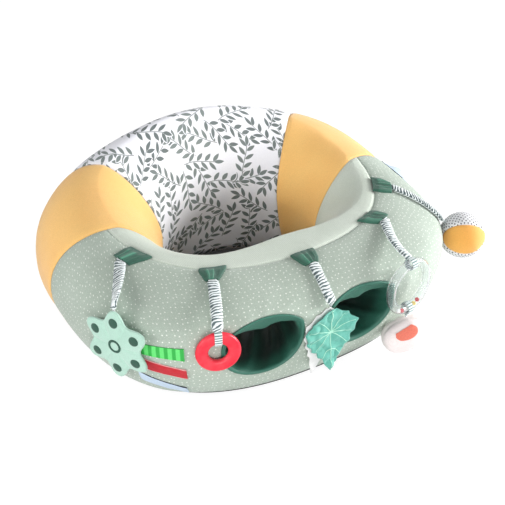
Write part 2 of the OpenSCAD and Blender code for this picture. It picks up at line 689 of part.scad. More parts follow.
// A point near the crest seam: w to the side and s down the outside, d off the cover
function by_seam(a, w, s, d) =
    let (v = crest_v(a), per_deg = norm(ring_point(a + 1, v) - ring_point(a - 1, v)) / 2,
        per_v = norm(ring_point(a, v + 0.05) - ring_point(a, v - 0.05)) / 0.1)
    on_ring(a + w / per_deg, v - s / per_v, d);
function seam_v_after(a, s) = let (v = crest_v(a),
    per_v = norm(ring_point(a, v + 0.05) - ring_point(a, v - 0.05)) / 0.1) v - s / per_v;

module tab(k) {
    n = tab_folds + 1;
    sheet = n * (tab_rows + 1);
    function id(i, j) = j * n + i;
    function point(i, j, d) = let (t = j / tab_rows)
        by_seam(lerp(STRAPS[k][0], STRAPS[k][1], t),
            (i / tab_folds - 0.5) * lerp(tab_w, strap_w + tab_t, t), tab_l * t, lie_gap + d);
    points = concat(
        [for (j = [0:tab_rows]) for (i = [0:tab_folds]) point(i, j, tab_t * (i % 2 == 0 ? 1 : 2 / 3))],
        [for (j = [0:tab_rows]) for (i = [0:tab_folds]) point(i, j, 0)]);
    skin = [for (j = [0:tab_rows - 1]) for (i = [0:tab_folds - 1]) each
        quad(id(i, j), id(i + 1, j), id(i + 1, j + 1), id(i, j + 1))];
    function rim(a, b) = quad(a, b, b + sheet, a + sheet);
    faces = concat(skin, flipped([for (f = skin) [f[0] + sheet, f[1] + sheet, f[2] + sheet]]),
        [for (i = [0:tab_folds - 1]) each
            concat(rim(id(i + 1, 0), id(i, 0)), rim(id(i, tab_rows), id(i + 1, tab_rows)))],
        [for (j = [0:tab_rows - 1]) each
            concat(rim(id(0, j), id(0, j + 1)), rim(id(tab_folds, j + 1), id(tab_folds, j)))]);
    color("#2f7a63") polyhedron(points, faces);
}

function strap_out(k) = out_dir(STRAPS[k][2]);
// The way up a strap from its end, and the way that its outer face looks there
function strap_rise(k) = let (lean = STRAPS[k][6]) [0, 0, cos(lean)] - strap_out(k) * sin(lean);
function strap_face(k) = let (lean = STRAPS[k][6]) [0, 0, sin(lean)] + strap_out(k) * cos(lean);
function strap_end(k) = let (s = STRAPS[k]) hang(s[2], s[3], s[4]) + strap_rise(k) * s[5];
// Where the last straight stretch begins
function strap_turn(k) = let (p = strap_end(k), room = (ring_h(STRAPS[k][2]) - p.z) / 2)
    p + strap_rise(k) * min(strap_drop, room);
function strap_start_v(k) = seam_v_after(STRAPS[k][1], tab_l + tab_gap);
function strap_turn_v(k) = min(outer_v(STRAPS[k][2], strap_turn(k).z), strap_start_v(k) - strap_run);
function strap_leave(k) =
    outer_v(STRAPS[k][2], strap_turn(k).z) > strap_turn_v(k) ? leave_early : leave_late;
function flat_point(a, v) = let (r = section(a, v).x) [r * sin(a), -r * cos(a)];
// Angle of the strap's path, which runs straight when seen from above
function strap_angle(k, t) =
    let (a0 = STRAPS[k][1], a1 = STRAPS[k][2], v0 = strap_start_v(k), v1 = strap_turn_v(k),
        r0 = section(a0, v0).x, r1 = section(a1, v1).x, r = section(lerp(a0, a1, t), lerp(v0, v1, t)).x,
        p = lerp(flat_point(a0, v0), flat_point(a1, v1), (r - r0) / (r1 - r0)))
    atan2(p.x, -p.y);
function strap_point(k, t) =
    let (v = lerp(strap_start_v(k), strap_turn_v(k), t), lift = lie_gap + strap_t / 2)
    on_ring(strap_angle(k, t), v, lift)
        + (strap_turn(k) - on_ring(STRAPS[k][2], strap_turn_v(k), lift)) * pow(t, strap_leave(k));
function strap_length(k) = let (n = 12)
    [for (q = [1:n]) 1] * [for (q = [1:n]) norm(strap_point(k, q / n) - strap_point(k, (q - 1) / n))];
function strap_up(k, t) =
    unit(ring_normal(strap_angle(k, t), lerp(strap_start_v(k), strap_turn_v(k), t)) * (1 - t)
        + strap_face(k) * t);
// The way that a strap starts from its tab, square to the tab's end
function start_dir(k) = let (a = STRAPS[k][1], v = strap_start_v(k), w = step * 10)
    unit(cross(ring_point(a + w, v) - ring_point(a - w, v), ring_normal(a, v)));

// A gathered elastic band through a list of points, thick along a list of directions
module gathered(path, ups, start, finish, taper_end) {
    n = len(path);
    m = strap_sides;
    function along(q) = q == n - 1 ? finish :
        unit(lerp(start, unit(path[q + 1] - path[max(q - 1, 0)]), min(q / start_turns, 1)));
    function depth(q) = q % 2 == 0 ? 0 : gather_depth;
    function shrink(q) = taper_end && q >= n - 2 ? strap_tip[q - n + 2] : 1;
    function ring(q) = let (t = along(q), w = unit(cross(ups[q], t)), u = cross(t, w),
        half_w = (strap_w / 2 - depth(q)) * shrink(q), half_t = (strap_t - depth(q)) / 2 * shrink(q))
        [for (k = [0:m - 1]) let (c = 360 * (k + 0.5) / m)
            path[q] + w * cos(c) * half_w + u * sin(c) * half_t];
    faces = concat(
        [for (q = [0:n - 2]) each flipped(band(q * m, (q + 1) * m, m))],
        [for (k = [1:m - 2]) [0, k + 1, k]],
        [for (k = [1:m - 2]) [(n - 1) * m, (n - 1) * m + k, (n - 1) * m + k + 1]]);
    polyhedron([for (q = [0:n - 1]) each ring(q)], flipped(faces));
}

module strap_body(k) {
    n = round(strap_length(k) / gather_pitch);
    last = strap_end(k) - strap_turn(k);
    m = max(1, round(norm(last) / gather_pitch));
    gathered(
        concat([for (q = [0:n - 1]) strap_point(k, q / n)], [for (q = [0:m]) strap_turn(k) + last * q / m]),
        concat([for (q = [0:n - 1]) strap_up(k, q / n)], [for (q = [0:m]) strap_face(k)]),
        start_dir(k), -strap_rise(k), STRAPS[k][7]);
}

module stadium(half_l, half_w) {
    square([2 * (half_l - half_w), 2 * half_w], center = true);
    for (side = [-1, 1]) translate([side * (half_l - half_w), 0]) circle(half_w);
}

// A flat band round the top of the teether ring's section
module teether_band() {
    hung(teether_a, teether_off, teether_top) rotate([0, 90, 0])
        linear_extrude(loop_w, center = true) difference() {
            stadium(teether_loop.x + loop_t, teether_loop.y + loop_t);
            stadium(teether_loop.x, teether_loop.y);
        }
}

// A round band about the rattle ring's tube, above its middle (1) or below (-1)
module rattle_band(side) {
    hung(rattle_a, rattle_off, rattle_z + side * rattle_r) rotate([0, 90, 0])
        linear_extrude(loop_w, center = true) difference() {
            circle(rattle_loop_r + loop_t);
            circle(rattle_loop_r);
        }
}

module strap_1() { color("#dfe9e8") strap_body(0); }
module strap_2() { color("#dfe9e8") { strap_body(1); teether_band(); } }
module strap_3() { color("#dfe9e8") strap_body(2); }
module strap_4() { color("#dfe9e8") { strap_body(3); rattle_band(1); } }
module strap_5() { color("#dfe9e8") strap_body(4); }

module lower_strap() {
    high = rattle_z - rattle_r - rattle_loop_r - loop_t / 2;
    low = cushion_z + cushion_h / 2 + hinge_gap;
    n = 2 * round((high - low) / gather_pitch / 2);
    color("#dfe9e8") {
        gathered([for (q = [0:n]) hang(rattle_a, rattle_off, lerp(high, low, q / n))],
            [for (q = [0:n]) out_dir(rattle_a)], [0, 0, -1], [0, 0, -1], true);
        rattle_band(-1);
    }
}

// ---- Flat flower pendant on strap 1

petals = 6;
// Depth of the notches between petals, and place of the marks on them, as parts of the radius
petal_depth = 0.28;
petal_mark_at = 0.68;
heart_r = 10;
heart_line = 3.6;
wadding_in = 3;
mark_t = 0.5;
module flower(smaller) {
    function r(t) = pendant_w / 2 * (1 - petal_depth * (1 - cos(petals * (t - 90))) / 2) - smaller;
    polygon([for (t = [0:5:355]) r(t) * [cos(t), sin(t)]]);
}
// A layer of a flat toy, from y0 to y1
module layer(y0, y1) { rotate([90, 0, 0]) translate([0, 0, -y1]) linear_extrude(y1 - y0) children(); }

module at_pendant() { hung(pendant_a, pendant_off, pendant_z) children(); }

module pendant_front() {
    color("#a5d4bc") at_pendant() layer(-pendant_t / 2, -pendant_fill_t / 2) flower(0);
}
module pendant_back() {
    color("#a5d4bc") at_pendant() layer(pendant_fill_t / 2, pendant_t / 2) flower(0);
}
module pendant_wadding() {
    color("white") at_pendant() layer(-pendant_fill_t / 2, pendant_fill_t / 2) flower(wadding_in);
}
module pendant_marks() {
    color("#1f5440") at_pendant() layer(-pendant_t / 2 - mark_t, -pendant_t / 2) {
        for (k = [0:petals - 1]) rotate(360 * k / petals)
            translate([0, pendant_w / 2 * petal_mark_at]) circle(petal_mark_r);
        difference() {
            circle(heart_r);
            circle(heart_r - heart_line);
        }
    }
}

module teether_ring() {
    r = teether_t / 2;
    mid_r = teether_d / 2 - teether_section;
    color("#fa3a52") hung(teether_a, teether_off, teether_z) rotate([90, 0, 0]) rotate_extrude()
        translate([mid_r, 0]) stadium(teether_section, r);
}

// ---- Leaf toy on strap 3: two leaves with crinkle film between them

// Right half of the leaf's outline, from the stem to the tip, in parts of its width and height
leaf_half = [[0, 0.5], [0.12, 0.46], [0.2, 0.4], [0.31, 0.38], [0.37, 0.29], [0.5, 0.22], [0.45, 0.1],
    [0.47, 0.02], [0.38, -0.03], [0.38, -0.12], [0.29, -0.16], [0.28, -0.25], [0.18, -0.29], [0.13, -0.38]];
module leaf(scale_by) {
    half = [for (p = leaf_half) [p.x * leaf_w, p.y * leaf_h] * scale_by];
    polygon(concat(half, [[0, -leaf_h / 2 * scale_by]],
        [for (k = [len(half) - 1:-1:1]) [-half[k].x, half[k].y]]));
}
// The white back leaf is narrower, and turned about its top so that its tip shows beside the front's
leaf_back_turn = 16;
leaf_back_w = 0.82;
film_size = 0.8;
module at_leaf() { hung(leaf_a, leaf_off, leaf_z) children(); }

module leaf_front() {
    color("#5fb795") at_leaf() layer(-leaf_t / 2, -film_t / 2) leaf(1);
}
module leaf_film() {
    color("white") at_leaf() layer(-film_t / 2, film_t / 2) leaf(film_size);
}
module leaf_back() {
    color("#ebebf5") at_leaf() layer(film_t / 2, leaf_t / 2)
        translate([0, leaf_h / 2]) rotate(-leaf_back_turn) translate([0, -leaf_h / 2])
            scale([leaf_back_w, 1]) leaf(1);
}

// ---- Clear rattle ring on strap 4, with its beads

module rattle_ring() {
    color("#e8eef2", 0.4) hung(rattle_a, rattle_off, rattle_z) rotate([90, 0, 0]) rotate_extrude()
        translate([rattle_r, 0]) difference() {
            circle(d = rattle_tube_d);
            circle(d = rattle_tube_d - 2 * rattle_wall);
        }
}
bead_gap = 0.15;
// Beads at angles from the lowest point of the ring, by the outer side of its bore
module beads(angles) {
    r = rattle_r + rattle_tube_d / 2 - rattle_wall - bead_d / 2 - bead_gap;
    hung(rattle_a, rattle_off, rattle_z) for (t = angles)
        rotate([0, -t, 0]) translate([0, 0, -r]) sphere(d = bead_d);
}
module beads_white() { color("white") beads([-30, -6]); }
module beads_red() { color("#c8102e") beads([-18, 33]); }
module bead_yellow() { color("#f2d35b") beads([21]); }

// ---- Small pink cushion toy on the lower strap

cushion_lean = 14;
cushion_square = 0.85;
function signed_pow(x, e) = sign(x) * pow(abs(x), e);
function cushion_point(lon, lat, by) = let (e = cushion_square, c = signed_pow(cos(lat), e))
    [cushion_w / 2 * c * signed_pow(sin(lon), e), -cushion_d / 2 * c * signed_pow(cos(lon), e),
        cushion_h / 2 * signed_pow(sin(lat), e)] * by;
module at_cushion() {
    hung(rattle_a, rattle_off, cushion_z) rotate([0, 0, -cushion_turn]) children();
}
module cushion_shape() {
    n = 24;
    lats = [for (lat = [-72:18:72]) lat];
    m = len(lats);
    function id(r, k) = r * n + k % n;
    polyhedron(concat([for (lat = lats) for (k = [0:n - 1]) cushion_point(360 * k / n, lat, 1)],
        [cushion_point(0, -90, 1), cushion_point(0, 90, 1)]), concat(
        [for (r = [0:m - 2]) for (k = [0:n - 1]) each
            quad(id(r, k), id(r + 1, k), id(r + 1, k + 1), id(r, k + 1))],
        [for (k = [0:n - 1]) [n * m, id(0, k), id(0, k + 1)]],
        [for (k = [0:n - 1]) [n * m + 1, id(m - 1, k + 1), id(m - 1, k)]]));
}
squeaker_t = 8;
squeaker_hole_d = 4;
squeaker_hole_l = 2;
module cushion_body() {
    color("#fae4e4") at_cushion() difference() {
        rotate([0, -cushion_lean, 0]) cushion_shape();
        rotate([90, 0, 0])
            cylinder(d = squeaker_d + 2 * lie_gap, h = squeaker_t + 2 * lie_gap, center = true);
    }
}
module squeaker() {
    color("white") at_cushion() rotate([90, 0, 0]) difference() {
        cylinder(d = squeaker_d, h = squeaker_t, center = true);
        translate([0, 0, squeaker_t / 2 - squeaker_hole_l]) cylinder(d = squeaker_hole_d, h = squeaker_t);
    }
}
// Coral patch on the front of the cushion, a disc with a straight top: its middle and radius in
// degrees, its turn, and its inner and outer faces as parts of the cushion's size
patch_lon = -8;
patch_lat = 32;
patch_r = 24;
patch_turn = 20;
patch_sizes = [1.025, 1.06];
module cushion_patch() {
    n = 14;
    function spot(r, t, by) =
        cushion_point(patch_lon + r * cos(t + patch_turn), patch_lat + r * sin(t + patch_turn), by);
    // Its straight side, half a radius above the middle, is towards the strap
    rim = concat([for (k = [0:n]) [patch_r, 150 + 240 * k / n]], [[patch_r / 2, 90]]);
    m = len(rim);
    points = concat([for (by = [patch_sizes[1], patch_sizes[0]]) for (q = rim) spot(q[0], q[1], by)],
        [spot(0, 0, patch_sizes[1]), spot(0, 0, patch_sizes[0])]);
    faces = concat(
        [for (k = [0:m - 1]) [2 * m, (k + 1) % m, k]],
        [for (k = [0:m - 1]) [2 * m + 1, m + k, m + (k + 1) % m]],
        [for (k = [0:m - 1]) each quad(k, (k + 1) % m, m + (k + 1) % m, m + k)]);
    color("#eb7364") at_cushion() rotate([0, -cushion_lean, 0]) polyhedron(points, faces);
}

// ---- Fabric ball on strap 5, with a bell

// The way that the middle of an orange panel faces, round the ball and up
ball_panel_turn = -92;
ball_panel_up = -10;
stuffing_gap = 0.2;
pellet_gap = 0.2;
module at_ball() { hung(ball_a, ball_off, ball_z) children(); }
module at_ball_panels() {
    at_ball() rotate([0, 0, ball_panel_turn]) rotate([90 - ball_panel_up, 0, 0]) children();
}
// The part of the ball's skin from one distance to another from the panels' axis
module ball_zone(from, to) {
    rotate_extrude() intersection() {
        difference() {
            circle(d = ball_d);
            circle(d = ball_d - 2 * ball_skin_t);
        }
        translate([from, -ball_d]) square([to - from, 2 * ball_d]);
    }
}
module ball_orange_panels() { color("#f5a83c") at_ball_panels() ball_zone(0, ball_panel_d / 2); }
module ball_dotted_panels() { color("#f2f2f2") at_ball_panels() ball_zone(ball_panel_d / 2, ball_d); }
module ball_stuffing() {
    color("white") at_ball() difference() {
        sphere(d = ball_d - 2 * ball_skin_t - 2 * stuffing_gap);
        sphere(d = bell_d + 2 * stuffing_gap);
    }
}
module bell() {
    color("gold") at_ball() difference() {
        sphere(d = bell_d);
        sphere(d = bell_d - 2 * bell_wall);
    }
}
module bell_pellet() {
    color("silver") at_ball() translate([0, 0, bell_wall + pellet_gap + (pellet_d - bell_d) / 2])
        sphere(d = pellet_d);
}

// ---- Satin ribbons sewn to the cover, from one angle and section value to another. The lower edge of
// ---- one bulges away from the cover between its ends.

module ribbon(a0, v0, v1, bulge = 0) {
    n = 6;
    v = (v0 + v1) / 2;
    per_deg = norm(ring_point(a0 + 1, v) - ring_point(a0 - 1, v)) / 2;
    per_v = norm(ring_point(a0, v + 0.05) - ring_point(a0, v - 0.05)) / 0.1;
    half = ribbon_w / 2 / per_v;
    function at(i, j, d) =
        on_ring(a0 + ribbon_l / per_deg * i / n, lerp(v0, v1, i / n) + (j - 1) * half,
            d + bulge * (1 - j / 2) * sin(180 * i / n));
    function id(i, j) = j * (n + 1) + i;
    sheet = 3 * (n + 1);
    function rim(a, b) = quad(a, b, b + sheet, a + sheet);
    skin = [for (j = [0:1]) for (i = [0:n - 1]) each
        quad(id(i, j), id(i, j + 1), id(i + 1, j + 1), id(i + 1, j))];
    polyhedron(
        [for (d = [lie_gap + ribbon_t, lie_gap]) for (j = [0:2]) for (i = [0:n]) at(i, j, d)],
        concat(skin, flipped([for (f = skin) [f[0] + sheet, f[1] + sheet, f[2] + sheet]]),
            [for (i = [0:n - 1]) each concat(rim(id(i, 0), id(i + 1, 0)), rim(id(i + 1, 2), id(i, 2)))],
            [for (j = [0:1]) each concat(rim(id(0, j + 1), id(0, j)), rim(id(n, j), id(n, j + 1)))]));
}
module ribbon_green() { color("#50d764") ribbon(-57, 1.01, 0.95); }
module ribbon_red() { color("#be0019") ribbon(-57, 0.855, 0.735); }
module ribbon_blue() { color("#c3d7eb") ribbon(-58.5, 0.67, 0.455); }
module ribbon_right() { color("#c3d7eb") ribbon(81, 1.37, 1.38, 13); }

bladder();
valve_stem();
valve_plug();
base_panel();
front_panel();
inner_front_panel();
right_orange_panel();
left_orange_panel();
back_panel();
right_leg_lining();
left_leg_lining();
seat_pad();
zip_tape();
zip_teeth();
zip_slider();
zip_puller();
tab(0);  // tab_1
tab(1);  // tab_2
tab(2);  // tab_3
tab(3);  // tab_4
tab(4);  // tab_5
strap_1();
strap_2();
strap_3();
strap_4();
strap_5();
lower_strap();
pendant_front();
pendant_back();
pendant_wadding();
pendant_marks();
teether_ring();
leaf_front();
leaf_back();
leaf_film();
rattle_ring();
beads_white();
beads_red();
bead_yellow();
cushion_body();
cushion_patch();
squeaker();
ball_orange_panels();
ball_dotted_panels();
ball_stuffing();
bell();
bell_pellet();
ribbon_green();
ribbon_red();
ribbon_blue();
ribbon_right();
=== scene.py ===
import math
from collections import namedtuple
from itertools import product

import bpy
import numpy as np
from mathutils import Matrix, Vector


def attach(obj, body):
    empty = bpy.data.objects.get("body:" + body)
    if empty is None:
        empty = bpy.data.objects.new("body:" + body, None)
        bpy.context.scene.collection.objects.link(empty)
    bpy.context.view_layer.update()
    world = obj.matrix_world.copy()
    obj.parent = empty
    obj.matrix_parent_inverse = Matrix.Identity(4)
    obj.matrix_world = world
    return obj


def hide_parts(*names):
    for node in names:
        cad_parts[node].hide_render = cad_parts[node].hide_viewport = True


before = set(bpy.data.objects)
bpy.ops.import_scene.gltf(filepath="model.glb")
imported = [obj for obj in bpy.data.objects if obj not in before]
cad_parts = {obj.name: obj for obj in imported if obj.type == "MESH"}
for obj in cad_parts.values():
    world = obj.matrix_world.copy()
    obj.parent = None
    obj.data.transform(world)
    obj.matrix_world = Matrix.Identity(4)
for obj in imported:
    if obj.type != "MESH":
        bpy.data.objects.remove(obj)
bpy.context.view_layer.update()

# Everything below is measured in millimetres and degrees, as in the part's source, and becomes
# metres when a mesh is made. Angle 0 is the front of the ring (-Y) and 90 its +X side.
MM = 0.001


def sd(a):
    return np.sin(np.radians(a))


def cd(a):
    return np.cos(np.radians(a))


def lerp(a, b, t):
    return a + (b - a) * t


def smooth(x, lo=0.0, hi=1.0):
    t = np.clip((x - lo) / (hi - lo), 0, 1)
    return t * t * (3 - 2 * t)


def bump(x, w):
    return np.exp(-((x / w) ** 2))


def unit(p):
    return p / np.maximum(np.linalg.norm(p, axis=-1, keepdims=True), 1e-9)


def grid(rows, cols):
    """Two arrays: the row's and the column's value at each point of a grid."""
    return np.meshgrid(rows, cols, indexing="ij")


def points(*axes):
    """Points from arrays of their coordinates."""
    return np.stack(np.broadcast_arrays(*axes), -1)


def stacked(*parts):
    """One list of points from grids, lists and single points."""
    return np.vstack([np.reshape(p, (-1, 3)) for p in parts])


def turned(p, angle, i=0, j=2):
    """Points turned from axis i towards axis j."""
    p, c, s = np.asarray(p, float), cd(angle), sd(angle)
    out = p.copy()
    out[..., i], out[..., j] = p[..., i] * c - p[..., j] * s, p[..., i] * s + p[..., j] * c
    return out


def noise(p, size, seed=0):
    """Smooth value noise from -1 to 1 at points p, with cells of this size."""
    q = np.asarray(p, float) / size + 1000
    cell = np.floor(q).astype(np.int64)
    f = q - cell
    f = f * f * (3 - 2 * f)
    out = 0
    for corner in product((0, 1), repeat=p.shape[-1]):
        n = np.full(p.shape[:-1], 7919 * (seed + 1), np.int64)
        w = 1.0
        for k, (d, prime) in enumerate(zip(corner, (73856093, 19349663, 83492791))):
            n = n ^ ((cell[..., k] + d) * prime)
            w = w * (f[..., k] if d else 1 - f[..., k])
        n = (n ^ (n >> 13)) * 1274126177 & 0x7FFFFFFF
        n = (n ^ (n >> 15)) * 668265263 & 0x7FFFFFFF
        out = out + w * (n / 0x7FFFFFFF)
    return out * 2 - 1


# ---- The ring's surface, the same functions as in part.scad

# Half width, depth to the front and to the back, and how square each half is
OUTLINE = 300, 243, 222, 2.8, 3.6
WELL = 127, 82, 115, 2, 2
FRONT_H, BACK_H, WELL_FLARE = 162, 257, 35
# Columns of the cover's grid in each panel, rows up to the crest's seam, and all rows
FRONT, ORANGE, BACK, COLS, OUT_ROWS, ROWS = 36, 6, 16, 64, 9, 17
BASE_V, FOOT_V, FABRIC, LIE = 0.22, 3.8, 2.0, 0.5


def plan_r(a, half_w, front, back, square_f, square_b):
    """Distance from the middle to a rounded outline."""
    c = cd(a)
    depth, n = np.where(c > 0, front, back), np.where(c > 0, square_f, square_b)
    return ((np.abs(sd(a)) / half_w) ** n + (np.abs(c) / depth) ** n) ** (-1 / n)


def to_back(a):
    """0 at the front of the ring and 1 at its back."""
    return (1 - cd(a)) / 2


def ring_h(a):
    return lerp(FRONT_H, BACK_H, to_back(a) ** 2)


def bulge_z(a):
    """Height at which the ring is widest."""
    return ring_h(a) * lerp(0.72, 0.32, to_back(a))


def section(a, v):
    """Distance from the middle and height. v is 0 at the outer foot, 1 where the ring is widest, 2 on
    its crest, 3 at the well's waist and 4 at the well's foot."""
    a, v = np.broadcast_arrays(np.asarray(a, float), np.asarray(v, float))
    side = 1 - (1 - to_back(a)) ** 3
    ro, rw = plan_r(a, *OUTLINE), plan_r(a, *WELL)
    h, zo = ring_h(a), bulge_z(a)
    rc, rb, zi, q = lerp(rw, ro, lerp(0.17, 0.48, side)), ro * lerp(0.856, 0.712, side), h * 0.5, 90 * v
    up = lambda x, n: np.maximum(x, 0) ** (2 / n)
    where = [v <= 1, v <= 2, v <= 3]
    r = np.select(where, [lerp(rb, ro, sd(q)), lerp(rc, ro, up(sd(180 - q), 2.1)),
                          lerp(rc, rw, up(-sd(q), 1.55))], lerp(rw + WELL_FLARE, rw, -sd(q)))
    z = np.select(where, [zo - zo * cd(q), lerp(zo, h, up(-cd(q), 2.1)),
                          lerp(zi, h, up(-cd(q), 1.55))], zi - zi * cd(q))
    return r, z


def ring_point(a, v):
    r, z = section(a, v)
    return points(r * sd(a), -r * cd(a), z)


def ring_normal(a, v):
    up = ring_point(a, np.minimum(v + 0.02, 4)) - ring_point(a, np.maximum(v - 0.02, 0))
    return unit(np.cross(ring_point(a + 0.2, v) - ring_point(a - 0.2, v), up))


def on_ring(a, v, d):
    """The point at a distance over the ring's surface."""
    return ring_point(a, v) + ring_normal(a, v) * np.asarray(d)[..., None]


def orange_seam(v):
    """Angle of the seam between front and orange panel; back_seam is the next one."""
    return 90.6 - 7.3 * (v - 2)


def back_seam(v):
    return 127.2 - 5.3 * (v - 2)


def col_angle(i, v):
    """Angle of a column of the grid, whose columns keep to the seams."""
    g, w = orange_seam(v), back_seam(v)
    m, n = FRONT + ORANGE, FRONT + ORANGE + BACK
    return np.select([i <= FRONT, i <= m, i <= n],
                     [lerp(-g, g, i / FRONT), lerp(g, w, (i - FRONT) / ORANGE),
                      lerp(w, 360 - w, (i - m) / BACK)],
                     lerp(360 - w, 360 - g, (i - n) / ORANGE))


def crest_v(a):
    """v of the seam along the crest, where the tabs are sewn in."""
    b = np.minimum(np.abs(a), 90)
    return 1.78 + 0.12 * cd(b) - 0.13 * cd(2 * b)


def crest_seam_v(i):
    return crest_v(col_angle(i, 2.0))


def row_v(i, j):
    """v of a row of the grid at a column."""
    c = crest_seam_v(i)
    return np.where(j <= OUT_ROWS, lerp(BASE_V, c, j / OUT_ROWS),
                    lerp(c, FOOT_V, (j - OUT_ROWS) / (ROWS - OUT_ROWS)))


def at_grid(i, j, d=0.0):
    """The point at a column and row, at a distance over the ring's surface."""
    i, j = np.broadcast_arrays(np.asarray(i, float), np.asarray(j, float))
    v = row_v(i, j)
    p = on_ring(col_angle(i, v), v, np.broadcast_to(d, i.shape))
    p[..., 2] = np.where(j > ROWS - 1, lerp(p[..., 2], FABRIC, smooth(j - ROWS + 1)), p[..., 2])
    return p


def arc(fall):
    """Degrees, as a share of 90, at which a quarter circle has fallen this far."""
    return np.degrees(np.arccos(np.clip(fall, -1, 1))) / 90


def outer_v(a, z):
    """The ring's v at a height on the outer side."""
    zo, h = bulge_z(a), ring_h(a)
    return np.where(z < zo, arc(1 - z / zo), 2 - arc(np.clip((z - zo) / (h - zo), 0, 1) ** 1.05))


def outer_row(i, a, z):
    """Row of the grid at a height on the outer side."""
    return (outer_v(a, z) - BASE_V) / (crest_seam_v(i) - BASE_V) * OUT_ROWS


def inner_row(i, a, z):
    """Row of the grid at a height on the well's side."""
    h, c = ring_h(a), crest_seam_v(i)
    zi = h / 2
    v = np.where(z < zi, 4 - arc(1 - z / zi), 2 + arc(np.clip((z - zi) / (h - zi), 0, 1) ** 0.775))
    return OUT_ROWS + (v - c) / (FOOT_V - c) * (ROWS - OUT_ROWS)


# A leg tunnel's two ends: angle, height of the middle, width and half height
LEG_A, LEG_TURN, LEG_Z, LEG_W, LEG_HALF_H = 17.3, -6.7, 88, 116, 44
WELL_END_A, WELL_END_Z, WELL_END_W, WELL_END_HALF_H = 32, 69, 76, 37


def hole(c, low, high, w, half_cols, half_rows):
    """An oval hole in a panel, and the block of the grid that it is cut from."""
    j = (low + high) / 2
    pitch = np.linalg.norm(at_grid(c + 1, j) - at_grid(c - 1, j)) / 2
    ri, rj = round(float(c)), round(float(j))
    return dict(i0=ri - half_cols, i1=ri + half_cols, j0=rj - half_rows, j1=rj + half_rows,
                c=float(c), j=float(j), ci=w / 2 / pitch, cj=float(high - low) / 2)


def leg_hole(side):
    a = LEG_TURN + side * LEG_A
    c = FRONT / 2 * (1 + a / orange_seam(1))
    low, high = (outer_row(c, a, LEG_Z + k * LEG_HALF_H) for k in (-1, 1))
    return hole(c, low, high, LEG_W, 3, 3)


def well_hole(side):
    c = FRONT / 2 * (1 + side * WELL_END_A / orange_seam(3))
    low, high = (inner_row(c, WELL_END_A, WELL_END_Z + k * WELL_END_HALF_H) for k in (1, -1))
    return hole(c, low, high, WELL_END_W, 6, 2)


def hole_loop(h, t, d=0.0, size=1.0, turn=1):
    """A ring of points round a hole, at a distance over the ring's surface."""
    return at_grid(h["c"] + h["ci"] * size * cd(t), h["j"] + turn * h["cj"] * size * sd(t), d)


# ---- Making pieces


def new_object(name, verts, faces, uv=None, attrs=None):
    """A mesh object from points and their uv, both in millimetres."""
    mesh = bpy.data.meshes.new(name)
    mesh.from_pydata((np.reshape(verts, (-1, 3)) * MM).tolist(), [], faces)
    if uv is not None:
        set_uv(mesh, uv)
    for key, values in (attrs or {}).items():
        mesh.attributes.new(key, "FLOAT", "POINT").data.foreach_set("value", np.asarray(values, np.float32))
    shade_smooth(mesh)
    mesh.update()
    mesh.validate()
    return place_object(name, mesh)


def place_object(name, data):
    o = bpy.data.objects.new(name, data)
    bpy.context.scene.collection.objects.link(o)
    return o


def set_uv(mesh, uv):
    loops = np.empty(len(mesh.loops), np.int32)
    mesh.loops.foreach_get("vertex_index", loops)
    layer = mesh.uv_layers.new(name="UVMap")
    layer.data.foreach_set("uv", (np.reshape(uv, (-1, 2)) * MM).astype(np.float32)[loops].ravel())


def shade_smooth(mesh):
    mesh.polygons.foreach_set("use_smooth", [True] * len(mesh.polygons))


def points_of(o):
    p = np.empty(len(o.data.vertices) * 3)
    o.data.vertices.foreach_get("co", p)
    return p.reshape(-1, 3) / MM


def set_points(o, p):
    o.data.vertices.foreach_set("co", (p * MM).ravel())
    o.data.update()


def modifier(o, kind, **settings):
    m = o.modifiers.new(kind.lower(), kind)
    for key, value in settings.items():
        setattr(m, key, value)
    return m


def remesh(o, voxel):
    modifier(o, "REMESH", mode="VOXEL", voxel_size=voxel * MM, use_smooth_shade=True)


def bake(o):
    """Turns an object's modifiers into its mesh."""
    made = bpy.data.meshes.new_from_object(o.evaluated_get(bpy.context.evaluated_depsgraph_get()))
    made.name = o.name
    o.modifiers.clear()
    o.data = made
    return o


def thicken(o, thickness, offset=-1):
    modifier(o, "SOLIDIFY", thickness=thickness * MM, offset=offset, use_quality_normals=True)
    return bake(o)


def finish_piece(o, mat, body, slot=None, replaces=()):
    o.data.materials.clear()
    for m in mat if isinstance(mat, list) else [mat]:
        o.data.materials.append(m)
    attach(o, body)
    if replaces:
        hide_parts(*replaces)
    return o


def sewn(rows, wrap=True):
    """The flat size that a cloth is cut from, by the grid of its points; it is worked out and not kept."""
    g = np.concatenate([rows, rows[:, :1]], 1) if wrap else rows
    flat = [float(np.linalg.norm(np.diff(g, axis=k), axis=-1).sum(k).max()) * MM for k in (1, 0)]
    tuple(flat)


def join(objects, name):
    """One object from several, given this name; the first one's body stays."""
    bpy.ops.object.select_all(action="DESELECT")
    for o in objects:
        o.select_set(True)
    bpy.context.view_layer.objects.active = objects[0]
    bpy.ops.object.join()
    objects[0].name = name
    return objects[0]


def grid_faces(rows, cols, start=0, wrap=False, loop=False, flip=False):
    """Quads of a grid of points, row by row. wrap joins the last column to the first, loop the rows."""
    j, i = grid(np.arange(rows if loop else rows - 1), np.arange(cols if wrap else cols - 1))
    n, up = (i + 1) % cols, (j + 1) % rows
    f = np.stack([j * cols + i, j * cols + n, up * cols + n, up * cols + i], -1).reshape(-1, 4) + start
    return (f[:, ::-1] if flip else f).tolist()


def fan_faces(n, tip, start=0, flip=False):
    """Triangles from a ring of n points to a tip."""
    k = np.arange(n)
    f = np.stack([np.full(n, tip), start + (k + 1) % n, start + k], -1)
    return (f[:, ::-1] if flip else f).tolist()


